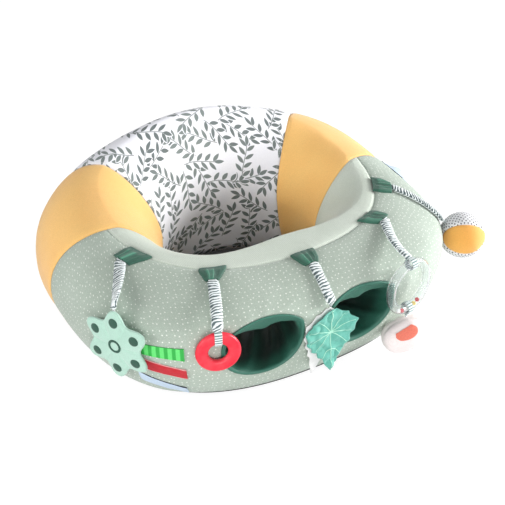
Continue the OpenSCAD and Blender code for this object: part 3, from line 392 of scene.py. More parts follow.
def closed_faces(m, n, flip=False):
    """A grid of m rings of n points, then a tip for each end."""
    return grid_faces(m, n, wrap=True, flip=flip) + fan_faces(n, m * n, 0, flip) + \
        fan_faces(n, m * n + 1, (m - 1) * n, not flip)


def there_and_back(share, length):
    """U round a tube from a share of its round, so that both ends of the round meet."""
    return np.abs((share * 2 + 1) % 2 - 1) * length


def loft(name, rings, caps=True, flip=False, u=None, **more):
    """A tube through rings of points, an array (ring, point, 3). U runs round, V along."""
    rings = np.asarray(rings, float)
    m, n = rings.shape[:2]
    mid = rings.mean(1)
    along = np.concatenate([[0], np.cumsum(np.linalg.norm(np.diff(mid, axis=0), axis=1))])
    if u is None:
        step = np.linalg.norm(rings[m // 2] - np.roll(rings[m // 2], 1, 0), axis=1)
        u = there_and_back(np.cumsum(step) / step.sum(), step.sum() / 2)
    uv = points(np.broadcast_to(u, (m, n)), along[:, None])
    if not caps:
        return new_object(name, rings, grid_faces(m, n, wrap=True, flip=flip), uv, **more)
    uv = np.vstack([uv.reshape(-1, 2), [[0, 0], [0, along[-1]]]])
    return new_object(name, stacked(rings, mid[0], mid[-1]), closed_faces(m, n, flip), uv, **more)


def slab(name, upper, under, uv, attrs=None):
    """A closed strip between two grids of points, which share their uv and attributes."""
    m, n = upper.shape[:2]
    at, c = np.arange(m * n).reshape(m, n), m * n
    edge = np.concatenate([at[0], at[1:, -1], at[-1, -2::-1], at[-2:0:-1, 0]])
    last = np.roll(edge, 1)
    faces = grid_faces(m, n) + grid_faces(m, n, c, flip=True)
    faces += np.stack([edge, last, last + c, edge + c], -1).tolist()
    return new_object(name, stacked(upper, under), faces, [uv, uv],
                      {key: np.tile(values.ravel(), 2) for key, values in (attrs or {}).items()})


def pillow(name, front, back, tips, place):
    """A flat toy between a front and a back, grids of rings that grow from a tip each. U is x, V is z."""
    m, n = front.shape[:2]
    c, k = m * n, np.arange(n)
    e, nxt = c - n + k, c - n + (k + 1) % n
    faces = grid_faces(m, n, wrap=True, flip=True) + grid_faces(m, n, c, wrap=True)
    faces += fan_faces(n, 2 * c, flip=True) + fan_faces(n, 2 * c + 1, c)
    faces += np.stack([c + e, c + nxt, nxt, e], -1).tolist()
    verts = stacked(front, back, tips)
    return new_object(name, place(verts), faces, verts[:, [0, 2]])


def tube(path, radius, up=(0, 1, 0)):
    """Rings of a round tube along a path; radius may be a list."""
    t = unit(np.gradient(path, axis=0))
    w = unit(np.cross(np.broadcast_to(up, t.shape), t) + 1e-6)
    u = np.cross(t, w)
    c = np.arange(0, 360, 45.0)[None, :, None]
    r = np.broadcast_to(radius, len(path))[:, None, None]
    return path[:, None] + r * (w[:, None] * cd(c) + u[:, None] * sd(c))


def resample(path, pitch):
    path = np.asarray(path, float)
    s = np.concatenate([[0], np.cumsum(np.linalg.norm(np.diff(path, axis=0), axis=1))])
    n = max(2, int(round(s[-1] / pitch)) + 1)
    at = np.linspace(0, s[-1], n)
    return points(*(np.interp(at, s, axis) for axis in path.T)), at


# ---- Materials

WHITE, BLACK = (1, 1, 1, 1), (0, 0, 0, 1)


def srgb(color):
    return tuple([c / 255 / 12.92 if c / 255 <= 0.04045 else ((c / 255 + 0.055) / 1.055) ** 2.4
                  for c in color] + [1])


def maths(operation, swapped=False):
    """A method that adds a Math node to a wire and what it is reckoned with."""
    return lambda self, *other: self.nodes.m(operation, *((*other, self) if swapped else (self, *other)))


class Wire:
    """A node's output. Reckoning with it adds nodes."""
    __add__, __sub__, __rsub__ = maths("ADD"), maths("SUBTRACT"), maths("SUBTRACT", swapped=True)
    __mul__, __truediv__, __abs__ = maths("MULTIPLY"), maths("DIVIDE"), maths("ABSOLUTE")

    def __init__(self, nodes, socket):
        self.nodes, self.socket = nodes, socket


class Nodes:
    """Short ways to add nodes to a tree. Arguments go to a node's inputs in order."""

    def __init__(self, tree):
        self.tree = tree

    def add(self, kind, *args, out=0, **props):
        n = self.tree.nodes.new("ShaderNode" + kind)
        for k, v in props.items():
            if k in n.inputs.keys():
                self.put(n.inputs[k], v)
            else:
                setattr(n, k, v)
        for socket, v in zip(n.inputs, args):
            self.put(socket, v)
        return Wire(self, n.outputs[out])

    def put(self, socket, v):
        if isinstance(v, Wire):
            self.tree.links.new(v.socket, socket)
        elif v is not None:
            socket.default_value = v

    def m(self, op, a, b=None, c=None, clamp=False):
        return self.add("Math", a, b, c, operation=op, use_clamp=clamp)

    def mix(self, fac, a, b, how="MIX"):
        n = self.tree.nodes.new("ShaderNodeMix")
        n.data_type, n.blend_type = "RGBA", how
        for k, v in ((0, fac), (6, a), (7, b)):
            self.put(n.inputs[k], v)
        return Wire(self, n.outputs[2])

    def ramp(self, x, lo, hi, a=0.0, b=1.0):
        return self.add("MapRange", x, lo, hi, a, b, interpolation_type="SMOOTHSTEP")

    def place(self):
        return self.add("TexCoord", out=3)

    def attribute(self, name):
        return self.add("Attribute", attribute_name=name, out=2)

    def scaled(self, vector, *s):
        return self.add("VectorMath", vector, s if len(s) == 3 else s * 3, operation="MULTIPLY")

    def xyz(self, vector):
        n = self.tree.nodes.new("ShaderNodeSeparateXYZ")
        self.put(n.inputs[0], vector)
        return [Wire(self, socket) for socket in n.outputs]

    def noise(self, vector, scale, detail=2.0, rough=0.5):
        return self.add("TexNoise", vector, None, scale, detail, rough)


class Shader(Nodes):
    """A new material."""

    def __init__(self, name):
        self.mat = bpy.data.materials.new(name)
        self.mat.use_nodes = True
        self.bsdf = self.mat.node_tree.nodes["Principled BSDF"]
        super().__init__(self.mat.node_tree)

    def uv(self):
        return self.add("UVMap", uv_map="UVMap")

    def set(self, **values):
        for k, v in values.items():
            self.put(self.bsdf.inputs[k.replace("_", " ")], v)

    def bumps(self, *layers):
        """Bump nodes one on another, each (height, strength, distance in mm)."""
        normal = None
        for height, strength, distance in layers:
            normal = self.add("Bump", Strength=strength, Distance=distance * MM, Height=height, Normal=normal)
        self.set(Normal=normal)


def weave(s, vector, pitch):
    """Over and under threads at this pitch in millimetres, from 0 to 1."""
    x, y, _ = s.xyz(s.scaled(vector, 1000 / pitch))
    return s.m("MULTIPLY_ADD", s.m("SINE", x * math.pi) * s.m("SINE", y * math.pi), 0.5, 0.5)


# A line of stitches: its distance from the seam, its pitch and its thread's width
STITCH_AT, STITCH_PITCH, THREAD_W = 3.5, 3.2, 0.35


def stitches(s):
    """A line of thread beside the nearest seam, 0 to 1, and the distance from that seam."""
    seam = s.attribute("seam")
    dash = abs(s.m("FRACT", s.attribute("along") / STITCH_PITCH) - 0.5)
    return s.ramp(abs(seam - STITCH_AT), THREAD_W, THREAD_W * 0.5) * s.ramp(dash, 0.4, 0.3), seam


def cloth(name, color, pitch=0.7, rough=0.85, sheen=0.25, vary=0.05, weave_depth=0.25, pattern=None,
          thread=None, uvs=True, fuzz=0.0, wave=None):
    """Woven or knitted cloth: threads, fine nap, uneven dye, and stitching where thread is a colour.
    pattern(s, vector, colour) returns a new colour and an extra bump layer or None."""
    s = Shader(name)
    v, p = (s.uv() if uvs else s.place()), s.place()
    threads = weave(s, v, pitch)
    nap, cloud = s.noise(p, 900, 3, 0.6), s.noise(p, 14, 3, 0.55)
    col, extra = pattern(s, v, srgb(color)) if pattern else (srgb(color), None)
    col = s.mix(s.ramp(cloud, 0.3, 0.7, 0, vary * 2), col, WHITE, "SOFT_LIGHT")
    col = s.mix(s.ramp(nap, 0.35, 0.65) * (vary * 1.4), col, BLACK)
    col = s.mix((1 - threads) * 0.10, col, BLACK)
    layers = [(threads, 0.5, weave_depth), (nap, 0.35 + fuzz, 0.25 + fuzz)]
    if wave:
        layers.append((s.noise(p, wave[0], 2, 0.5), 0.5, wave[1]))
    if thread:
        line, seam = stitches(s)
        # Painted shade in the seam's groove: a little darker within 2 mm of the seam.
        col = s.mix(s.ramp(seam, 2.2, 0.0) * 0.12, col, (0.02, 0.03, 0.03, 1), "MULTIPLY")
        col = s.mix(line * 0.7, col, srgb(thread))
        layers.append((line, 0.6, 0.3))
    if extra is not None:
        layers.append(extra)
    s.set(Base_Color=col, Roughness=s.ramp(nap, 0.2, 0.8, rough - 0.06, min(1, rough + 0.08)),
          Sheen_Weight=sheen, Sheen_Roughness=0.5)
    s.bumps(*layers)
    return s.mat


def dots(size, pitch, color, rand=0.55, strength=0.85):
    """Small printed dots of this radius, about this far apart, both in millimetres."""
    def pattern(s, v, col):
        cell = s.add("TexVoronoi", s.scaled(v, 1000 / pitch), voronoi_dimensions="2D", feature="F1",
                     Scale=1.0, Randomness=rand)
        mask = s.ramp(cell, size / pitch * 1.15, size / pitch * 0.75)
        return s.mix(mask * strength, col, srgb(color)), None
    return pattern


def speckled(large, small):
    """Two sizes of dots."""
    return lambda s, v, col: small(s, v, large(s, v, col)[0])


# A sprig's own cell, the foot and top of its stem, the pitch of its leaves and their lean from it
SPRIG_CELL, SPRIG_LOW, SPRIG_HIGH, LEAF_PITCH, LEAF_LEAN = 75.0, -35.0, 22.0, 14.4, 48
# Each layer's shift and turn
SPRIG_LAYERS = ((38, 6), 20), ((3, 2), 0), ((38, 40), 75)


def leaf_mask(s, along, across, middle, half_l, half_w):
    """A pointed leaf and a slightly larger one, each 0 to 1."""
    out = []
    for grow in (0.0, 1.6):
        t = (along - middle) / (half_l + grow)
        body = s.m("SUBTRACT", 1, t * t, clamp=True)
        width = s.m("POWER", body, 0.85) * s.m("MULTIPLY_ADD", t, -0.18, 1.0) * (half_w + grow)
        out.append(s.ramp(abs(across) - width, 0.3, -0.3) * s.ramp(abs(t), 1.02, 0.97))
    return out


def sprig_layer(s, v, shift, turn):
    """One leafy sprig in each cell of the cloth, flipped and turned from cell to cell; 0 to 1."""
    p = s.xyz(s.add("VectorMath", s.scaled(v, 1000.0), (*shift, 0), operation="ADD"))
    q = [p[0] / SPRIG_CELL, p[1] / SPRIG_CELL]
    cell = s.add("CombineXYZ", s.m("FLOOR", q[0]), s.m("FLOOR", q[1]), 0.0)
    r = s.xyz(s.add("TexWhiteNoise", cell, noise_dimensions="3D", out=1))
    x, y = ((s.m("FRACT", q[k]) - 0.5) * SPRIG_CELL * s.m("SIGN", r[k] - 0.5) for k in (0, 1))
    angle = s.m("MULTIPLY_ADD", r[2], math.tau, math.radians(turn))
    ca, sa = s.m("COSINE", angle), s.m("SINE", angle)
    rx, ry = x * ca + y * sa, y * ca - x * sa
    # The stem bends a little; leaves stand on it by turns on either side
    sx = rx - s.m("SINE", ry / 17) * 3.4
    ax = abs(sx)
    stem = s.ramp(ax, 1.0, 0.5) * (s.ramp(ry, SPRIG_LOW - 0.4, SPRIG_LOW + 0.4) *
                                   s.ramp(ry, SPRIG_HIGH + 0.4, SPRIG_HIGH - 0.4))
    ys = s.m("MULTIPLY_ADD", s.m("SIGN", sx), LEAF_PITCH / 4, ry)
    foot = s.m("ROUND", (ys - 7.0) / LEAF_PITCH) * LEAF_PITCH
    ly = ys - foot
    c, n = math.cos(math.radians(LEAF_LEAN)), math.sin(math.radians(LEAF_LEAN))
    here = s.m("GREATER_THAN", foot, SPRIG_LOW + 3) * s.m("LESS_THAN", foot, SPRIG_HIGH - 6)
    beside = [mask * here for mask in leaf_mask(s, ax * n + ly * c, ax * c - ly * n, 9.8, 8.4, 3.1)]
    return beside, leaf_mask(s, ry - (SPRIG_HIGH - 1), ax, 8.2, 8.6, 3.1), stem, r[0]


def sprigs(s, v, col):
    """Three layers of sprigs, each with a thin pale rim where it crosses the one below."""
    for shift, turn in SPRIG_LAYERS:
        beside, tip, stem, rnd = sprig_layer(s, v, shift, turn)
        leaf, halo = (s.m("MAXIMUM", *pair) for pair in zip(beside, tip))
        ink = s.mix(rnd, srgb((84, 96, 94)), srgb((112, 124, 120)))
        col = s.mix(halo, col, srgb((246, 246, 252)))
        col = s.mix(stem * 0.85, col, srgb((112, 122, 118)))
        col = s.mix(leaf * 0.95, col, ink)
    return col, None


def ribs(base, line):
    """Gathered elastic with painted shade: dark lines in the creases between its ribs, wider on the side that
    lies in shadow.
    """
    def pattern(s, v, col):
        wave = abs(s.m("SINE", s.attribute("turns") * math.pi))
        patch = s.ramp(s.noise(s.place(), 160, 2, 0.5), 0.3, 0.6, 0.55, 1)
        # Painted shade reaches further across the strap's shadow side.
        reach = s.ramp(s.attribute("across"), -1.0, 1.0, 0.95, 0.4) * patch
        return s.mix(s.ramp(wave - reach, 0.12, -0.08) * 0.92, srgb(base), srgb(line)), (wave, 0.4, 0.4)
    return pattern


def painted_tunnel_shade(shade_colour):
    """Painted shade: darker further into a tunnel."""
    return lambda s, v, col: (s.mix(s.attribute("inside"), col, srgb(shade_colour)), None)


def folded(highlight_colour):
    """Painted highlight: lighter where a fold stands up."""
    return lambda s, v, col: (s.mix(s.ramp(s.attribute("ridge"), 0.55, 1.3), col, srgb(highlight_colour)), None)


def stripes(base, line, pitch, share, along=1, soft=0.06, bump_mm=0.2):
    """Even stripes across the length (along=1) or width (along=0) of a band."""
    def pattern(s, v, col):
        f = abs(s.m("FRACT", s.xyz(s.scaled(v, 1000.0 / pitch))[along]) - 0.5)
        mask = s.ramp(f, share / 2 + soft, share / 2 - soft)
        return s.mix(mask, srgb(base), srgb(line)), (mask, 0.4, bump_mm)
    return pattern


def plastic(name, color, rough=0.3, mottle=0.03, spec=0.5, coat=0.0, trans=0.0, ior=1.5, relief=1.0):
    s = Shader(name)
    p = s.place()
    fine, cloud = s.noise(p, 700, 3, 0.6), s.noise(p, 45, 3, 0.6)
    col = s.mix(s.ramp(cloud, 0.3, 0.7) * (mottle * 2), srgb(color), WHITE)
    col = s.mix(s.ramp(fine, 0.6, 0.75) * mottle, col, BLACK)
    s.set(Base_Color=col, Roughness=s.ramp(s.noise(p, 120, 4, 0.6), 0.3, 0.75, rough * 0.8, rough * 1.35),
          IOR=ior, Specular_IOR_Level=spec, Transmission_Weight=trans, Coat_Weight=coat, Coat_Roughness=0.08)
    s.bumps((fine, 0.15 * relief, 0.05), (cloud, 0.25 * relief, 0.3))
    return s.mat


def metal(name, color, rough):
    s = Shader(name)
    p, color = s.place(), srgb(color)
    brushed = s.noise(s.scaled(p, 1, 14, 14), 260, 4, 0.65)
    worn = s.ramp(s.noise(p, 180, 4, 0.7), 0.45, 0.8) * 0.35
    s.set(Base_Color=s.mix(worn, color, tuple(c * 0.45 for c in color[:3]) + (1,)), Metallic=1.0,
          Roughness=s.ramp(brushed, 0.3, 0.7, rough * 0.7, rough * 1.6))
    s.bumps((brushed, 0.3, 0.05))
    return s.mat


WHITE_THREAD = 238, 240, 235
SAGE = cloth("sage_cotton", (174, 188, 174),
             pattern=speckled(dots(1.0, 8.2, (240, 244, 236), strength=0.95),
                              dots(0.5, 3.7, (212, 220, 208), rand=1.0, strength=0.6)),
             thread=(200, 212, 202), vary=0.09, wave=(120, 0.8))
PALE_SAGE = cloth("pale_sage_ribbed", (210, 219, 205), pitch=0.9,
                  pattern=stripes((212, 221, 207), (197, 209, 195), 2.6, 0.3, along=0, soft=0.12),
                  thread=WHITE_THREAD, vary=0.08, wave=(110, 0.6))
ORANGE_CLOTH = cloth("orange_brushed", (255, 198, 114), pitch=0.6, rough=0.8, sheen=0.35,
                     thread=(255, 205, 140), vary=0.07, wave=(60, 0.8), weave_depth=0.15)
PRINT = cloth("sprig_print", (246, 246, 252), pattern=sprigs, thread=WHITE_THREAD, vary=0.04, wave=(60, 0.8),
              weave_depth=0.15)
# The lining's dark inner colour is painted shade that deepens into the tunnel.
LINING = cloth("lining_satin", (47, 108, 90), pitch=0.5, rough=0.5, sheen=0.05, vary=0.10, weave_depth=0.12,
               wave=(90, 1.0), pattern=painted_tunnel_shade((14, 52, 42)))
BASE_CLOTH = cloth("base_nylon", (30, 32, 34), pitch=1.1, rough=0.7, sheen=0.15)
# Near black, which makes the bottom of the well dark.
PAD_CLOTH = cloth("pad_cotton", (27, 30, 33), pattern=dots(0.8, 8.6, (40, 43, 46)), vary=0.08)
# Tabs carry a painted highlight on their fold ridges.
TAB = cloth("tab_cotton", (30, 84, 66), pitch=0.6, rough=0.7, vary=0.12, wave=(160, 0.7),
            pattern=folded((84, 158, 130)))
# The dark colour is painted shade in the creases between the ribs.
STRAP = cloth("gathered_elastic", (236, 243, 243), pitch=0.8, pattern=ribs((240, 247, 247), (44, 74, 76)),
              vary=0.04)
LOOP = cloth("striped_elastic", (236, 243, 243), pitch=0.8,
             pattern=stripes((238, 244, 244), (86, 126, 122), 3.6, 0.42))
MINT = cloth("mint_velour", (178, 216, 198), pitch=0.5, rough=0.9, sheen=0.5, vary=0.06, fuzz=0.3, uvs=False,
             weave_depth=0.1)
MARK = cloth("dark_embroidery", (28, 78, 60), pitch=0.45, rough=0.6, sheen=0.2, vary=0.08, uvs=False)
TEETHER = plastic("teether_silicone", (234, 18, 50), rough=0.42, mottle=0.02)
LEAF = cloth("leaf_cotton", (96, 180, 162), pitch=0.5, rough=0.8, vary=0.12, uvs=False, wave=(150, 1.2))
VEIN = cloth("vein_thread", (176, 232, 208), pitch=0.4, rough=0.7, sheen=0.2, uvs=False)
WHITE_CLOTH = cloth("white_cotton", (240, 240, 238), pitch=0.5, uvs=False, wave=(120, 1.0))
PINK = cloth("pink_plush", (255, 242, 240), pitch=0.8, rough=0.95, sheen=0.6, vary=0.07, uvs=False, fuzz=0.5,
             weave_depth=0.1)
CORAL = cloth("coral_felt", (242, 120, 98), pitch=0.6, rough=0.9, sheen=0.4, vary=0.10, uvs=False, fuzz=0.3)
BALL_ORANGE = cloth("ball_orange", (255, 184, 88), pitch=0.5, sheen=0.3, vary=0.08)
BALL_DOTTED = cloth("ball_dotted", (240, 240, 242), pitch=0.5,
                    pattern=dots(1.25, 5.0, (34, 38, 52), rand=0.0, strength=0.97))
GREEN_SATIN = cloth("green_satin", (84, 214, 104), pitch=0.4, rough=0.4, sheen=0.2, weave_depth=0.06,
                    pattern=stripes((96, 224, 112), (30, 172, 60), 10.4, 0.46, along=0, bump_mm=0.03))
RED_SATIN = cloth("red_satin", (196, 6, 30), pitch=0.4, rough=0.42, sheen=0.1, vary=0.06, weave_depth=0.06)
BLUE_SATIN = cloth("blue_satin", (196, 216, 236), pitch=0.4, rough=0.4, sheen=0.2, weave_depth=0.06)
PINK_EDGE, GREEN_EDGE, DARK_EDGE = (
    cloth(name + "_edging", color, pitch=0.5)
    for name, color in (("pink", (240, 170, 170)), ("green", (46, 176, 74)), ("dark", (52, 60, 74))))
WADDING = cloth("wadding", (246, 246, 244), pitch=1.2, rough=1.0, sheen=0.4, vary=0.04, uvs=False, fuzz=0.6)
FILM = plastic("crinkle_film", (235, 240, 245), rough=0.2, mottle=0.05, trans=0.4)
VINYL = plastic("bladder_vinyl", (226, 230, 232), rough=0.35, mottle=0.04)
VALVE = plastic("valve_plastic", (240, 240, 240))
ZIP_METAL = metal("zip_metal", (200, 203, 208), 0.28)

# ---- The cover: panels on a fine grid of the ring's surface

# Points to a cell of the grid, and the depth of a seam's groove, the swell and the creases, in mm
FINE_I, FINE_J, GROOVE, PUFF, PUCKER = 8, 9, 1.5, 0.8, 0.5
FAN_RINGS = 12


def under_ribbons(a, v):
    """1 where a ribbon lies on the cover, which is smooth there, and 0 away from it."""
    left = smooth(a, -62, -58) * smooth(a, -38, -42) * smooth(v, 0.38, 0.46) * smooth(v, 1.24, 1.18)
    right = smooth(a, 77, 80) * smooth(a, 100, 96) * smooth(v, 1.22, 1.28) * smooth(v, 1.54, 1.48)
    return np.maximum(left, right)


class Panel:
    """A panel on a block of the cover's grid, with a fan of rings round each hole."""

    def __init__(self, name, i0, i1, j0, j1, holes=()):
        self.name, self.holes = name, holes
        self.i = np.linspace(i0, i1, (i1 - i0) * FINE_I + 1)
        self.j = np.linspace(j0, j1, (j1 - j0) * FINE_J + 1)
        n = len(self.i)
        ii, jj = np.meshgrid(self.i, self.j)
        p = at_grid(ii, jj)
        # Lengths on the cloth along each row and up each column
        u, s = (np.cumsum(np.linalg.norm(np.diff(p, axis=k), axis=2), k) for k in (1, 0))
        self.u, self.s = np.pad(u, ((0, 0), (1, 0))), np.pad(s, ((1, 0), (0, 0)))
        keep = np.ones((len(self.j) - 1, n - 1), bool)
        blocks = [((h["i0"] - i0) * FINE_I, (h["i1"] - i0) * FINE_I,
                   (h["j0"] - j0) * FINE_J, (h["j1"] - j0) * FINE_J) for h in holes]
        for a, b, c, d in blocks:
            keep[c:d, a:b] = False
        self.pi, self.pj = ii.ravel(), jj.ravel()
        jc, ic = np.nonzero(keep)
        q = jc * n + ic
        self.faces = np.stack([q, q + 1, q + n + 1, q + n], -1).tolist()
        for h, block in zip(holes, blocks):
            self.fan(h, *block)
        used = np.unique(self.faces)
        remap = np.full(len(self.pi), -1)
        remap[used] = np.arange(len(used))
        self.pi, self.pj = self.pi[used], self.pj[used]
        self.faces = remap[np.array(self.faces)].tolist()

    def fan(self, h, a, b, c, d):
        """Rings of points from a block's edge to the hole in it."""
        edge = [(x, c) for x in range(a, b)] + [(b, y) for y in range(c, d)] + \
            [(x, d) for x in range(b, a, -1)] + [(a, y) for y in range(d, c, -1)]
        x, y = np.array(edge).T
        ei, ej = self.i[x], self.j[y]
        t = np.degrees(np.arctan2((ej - (h["j0"] + h["j1"]) / 2) / (h["j1"] - h["j0"]),
                                  (ei - (h["i0"] + h["i1"]) / 2) / (h["i1"] - h["i0"])))
        hi, hj = h["c"] + h["ci"] * cd(t), h["j"] + h["cj"] * sd(t)
        last = y * len(self.i) + x
        for k in range(1, FAN_RINGS + 1):
            w = 1 - (1 - k / FAN_RINGS) ** 1.5
            new = len(self.pi) + np.arange(len(edge))
            self.pi = np.concatenate([self.pi, lerp(ei, hi, w)])
            self.pj = np.concatenate([self.pj, lerp(ej, hj, w)])
            self.faces += np.stack([last, np.roll(last, -1), np.roll(new, -1), new], -1).tolist()
            last = new

    def look(self, table):
        """The values at this panel's points of a table that has one for each point of the grid."""
        table = np.broadcast_to(table, self.u.shape)
        x, y = (self.pi - self.i[0]) * FINE_I, (self.pj - self.j[0]) * FINE_J
        x0 = np.clip(np.floor(x).astype(int), 0, len(self.i) - 2)
        y0 = np.clip(np.floor(y).astype(int), 0, len(self.j) - 2)
        fx, fy = x - x0, y - y0
        return lerp(lerp(table[y0, x0], table[y0, x0 + 1], fx),
                    lerp(table[y0 + 1, x0], table[y0 + 1, x0 + 1], fx), fy)

    def build(self, mat, slot):
        i, j = self.pi, self.pj
        v = row_v(i, j)
        a = col_angle(i, v)
        width, height = self.u[:, -1:], self.s[-1:]
        u, s = self.look(self.u), self.look(self.s)
        sides = points(u, self.look(width) - u, s, self.look(height) - s)
        seam = sides.min(-1)
        along = np.where(sides.argmin(-1) < 2, s, u)
        p = at_grid(i, j)
        soft = 1 - np.exp(-seam / 9)
        lift = PUFF * (1 - np.exp(-seam / 22)) - GROOVE * bump(seam, 4.2)
        for high, size, seed in ((1.0, 75, 1), (0.35, 28, 2), (0.12, 11, 3)):
            lift = lift + high * noise(p, size, seed) * soft
        # Short creases run in from the seams
        phase = 2 * np.pi * along / 10.5 + 2.6 * noise(p, 24, 4)
        fade = np.exp(-seam / 9) * (1 - bump(seam, 2.0)) * (0.55 + 0.45 * noise(p, 30, 5))
        lift = lift + PUCKER * np.sin(phase) * fade
        for k, hl in enumerate(self.holes):
            x, y = (i - hl["c"]) / hl["ci"], (j - hl["j"]) / hl["cj"]
            out = (np.hypot(x, y) - 1) * 45
            phase = np.arctan2(y, x) * 13 + 2 * noise(p, 22, 6 + k)
            fade = np.exp(-np.maximum(out, 0) / 13) * (1 - bump(out, 2.5))
            lift = lift - 2.2 * bump(out, 3.5) + 0.7 * np.sin(phase) * fade
            seam = np.minimum(seam, np.maximum(out, 0))
        if self.j[0] == 0:
            lift = lift * smooth(j, 0, 0.3)
        lift = lerp(lift, np.minimum(lift, 0.2), under_ribbons(a, v))
        verts = p + ring_normal(a, v) * lift[:, None]
        verts[:, 2] = np.maximum(verts[:, 2], 0.8)
        middle = self.look(self.u[:, len(self.i) // 2][:, None])
        o = new_object(self.name, verts, self.faces, points(u - middle, s),
                       {"seam": seam, "along": along})
        thicken(o, FABRIC)
        finish_piece(o, mat, "seat", slot, [self.name.replace("_cover", "_panel")])
        q = p[np.array(self.faces)] * MM


LEGS, WELL_ENDS = ([make(side) for side in (1, -1)] for make in (leg_hole, well_hole))
for name, cells, holes, mat, slot in (
        ("front", (0, FRONT, 0, OUT_ROWS), LEGS, SAGE, "sage_cloth"),
        ("inner_front", (0, FRONT, OUT_ROWS, ROWS), WELL_ENDS, PALE_SAGE, "pale_sage_cloth"),
        ("right_orange", (FRONT, FRONT + ORANGE, 0, ROWS), (), ORANGE_CLOTH, "orange_cloth"),
        ("back", (FRONT + ORANGE, COLS - ORANGE, 0, ROWS), (), PRINT, "print_cloth"),
        ("left_orange", (COLS - ORANGE, COLS, 0, ROWS), (), ORANGE_CLOTH, "orange_cloth")):
    Panel(name + "_cover", *cells, holes).build(mat, slot)

# ---- Leg tunnels: satin linings with a turned edge and loose folds

# The turned edges, each ring (height over the cover, size)
LEG_LIP = (-1.2, 1.035), (0.5, 1.03), (0.9, 0.995), (0.4, 0.955)
WELL_LIP = (0.9, 0.955), (1.4, 0.995), (0.7, 1.03), (-1.2, 1.035)

t = np.arange(0, 360, 2.5)
along = np.concatenate([[0.0, 0.008, 0.016, 0.026, 0.04, 0.06], np.linspace(0.09, 0.985, 46)])
for side, label, a, b in ((1, "right", LEGS[0], WELL_ENDS[0]), (-1, "left", LEGS[1], WELL_ENDS[1])):
    start, end = hole_loop(a, t, -2.0), hole_loop(b, t, -2.0, 1, -1)
    top = np.clip(sd(t), 0, 1) ** 1.2
    rings = [hole_loop(a, t, d, size) for d, size in LEG_LIP]
    heights = []
    for q in along:
        ring = lerp(start, end, q)
        body = np.sin(np.pi * min(q * 1.15, 1)) ** 0.6
        # The facing hangs down from the top of the mouth, the folds draw in towards the well
        drop = 15 * top * smooth(q, 0.0, 0.045) * (1 - smooth(q, 0.1, 0.75))
        twist = t + 60 * q * side
        folds = 5 * np.abs(sd(twist * 2.5 + 25)) ** 4 + 3.4 * np.abs(sd(twist * 4.5 + 80)) ** 5
        folds = folds + 1.4 * noise(points(cd(t) * 40, sd(t) * 40, q * 120), 16, 9 + side)
        heights.append(body * folds)
        inward = 2.6 + drop + body * (folds + 0.8)
        rings.append(ring - unit(ring - ring.mean(0)) * np.maximum(inward, 2.2)[:, None])
    rings += [hole_loop(b, t, d, size, -1) for d, size in WELL_LIP]
    # Painted shade, darker inside the tunnel, with a painted highlight where folds stand up
    depth = np.concatenate([[0] * len(LEG_LIP), smooth(along, 0.03, 0.2), [0.6] * len(WELL_LIP)])
    stand = np.pad(np.clip(np.concatenate(heights) / 9, 0, 1), len(LEG_LIP) * len(t))
    o = loft(f"{label}_tunnel_lining", rings, caps=False, flip=side < 0,
             attrs={"inside": np.repeat(depth, len(t)) * (1 - 0.5 * stand)})
    thicken(o, 1.0, offset=1)
    finish_piece(o, LINING, "seat", "lining_cloth", [f"{label}_leg_lining"])
    sewn(np.array(rings))

# ---- Base: a black cloth tray that turns up to the base seam

i = np.linspace(0, COLS, COLS * 4, endpoint=False)
# Its upturned edge, each ring (v, height over the ring)
levels = [(0.235, 0.3), (0.22, 0.9)] + [(v, 0.5) for v in (0.19, 0.15, 0.11, 0.07, 0.03, 0.0)]
rings = [on_ring(col_angle(i, v), np.full_like(i, v), np.full_like(i, d)) for v, d in levels]
foot = rings[-1]
for k in range(1, 13):
    q = foot * (1 - k / 13)
    q[:, 2] = 0.35 + 0.35 * noise(q, 60, 3)
    rings.append(np.maximum(q, [-np.inf, -np.inf, 0.0]))
rings = np.array(rings)
m, n = rings.shape[:2]
verts = stacked(rings, [0, 0, 0.4])
verts[:, 2] = np.maximum(verts[:, 2], 0.0)
faces = grid_faces(m, n, wrap=True, flip=True) + fan_faces(n, m * n, (m - 1) * n)
o = new_object("base_cloth", verts, faces, verts[:, :2])
thicken(o, 1.6)
finish_piece(o, BASE_CLOTH, "seat", "base_cloth", ["base_panel"])
sewn(rings)

# ---- Where the toys hang


def out_dir(a):
    n = ring_normal(np.array(float(a)), np.array(1.0))
    return unit(np.array([n[0], n[1], 0.0]))


def hang(a, off, z):
    """The place off a surface that touches the ring near angle a, at height z."""
    h = out_dir(a)
    side = np.array([-h[1], h[0], 0])
    bb, vv = np.meshgrid(np.arange(a - 12, a + 12.01, 3), np.arange(0.8, 1.31, 0.1))
    reach = (ring_point(bb, vv) @ h).max()
    return h * (reach + off) + side * (ring_point(np.array(float(a)), 1.0) @ side) + np.array([0, 0, z])


def hung(a, off, z):
    """A function that moves points of a toy's own frame, -y outwards and z up, to where it hangs."""
    h, o = out_dir(a), hang(a, off, z)
    axes = np.array([[-h[1], h[0], 0], [-h[0], -h[1], 0], [0, 0, 1]])
    return lambda p: np.asarray(p, float) @ axes + o


PENDANT_R, PENDANT_T = 52, 5.6
LEAF_W, LEAF_H, LEAF_T = 86, 104, 3.8
TEETHER_R, TEETHER_SECTION = 30, (60 - 26) / 4
RATTLE_TUBE, BALL_R, BALL_LEAN = 13, 34, 50
RATTLE_R = (86 - RATTLE_TUBE) / 2
CUSHION_HALF, CUSHION_TURN, CUSHION_LEAN = (37, 21, 29), 25, 14
CUSHION_REACH = math.hypot(CUSHION_HALF[1] * cd(CUSHION_TURN), CUSHION_HALF[0] * sd(CUSHION_TURN))
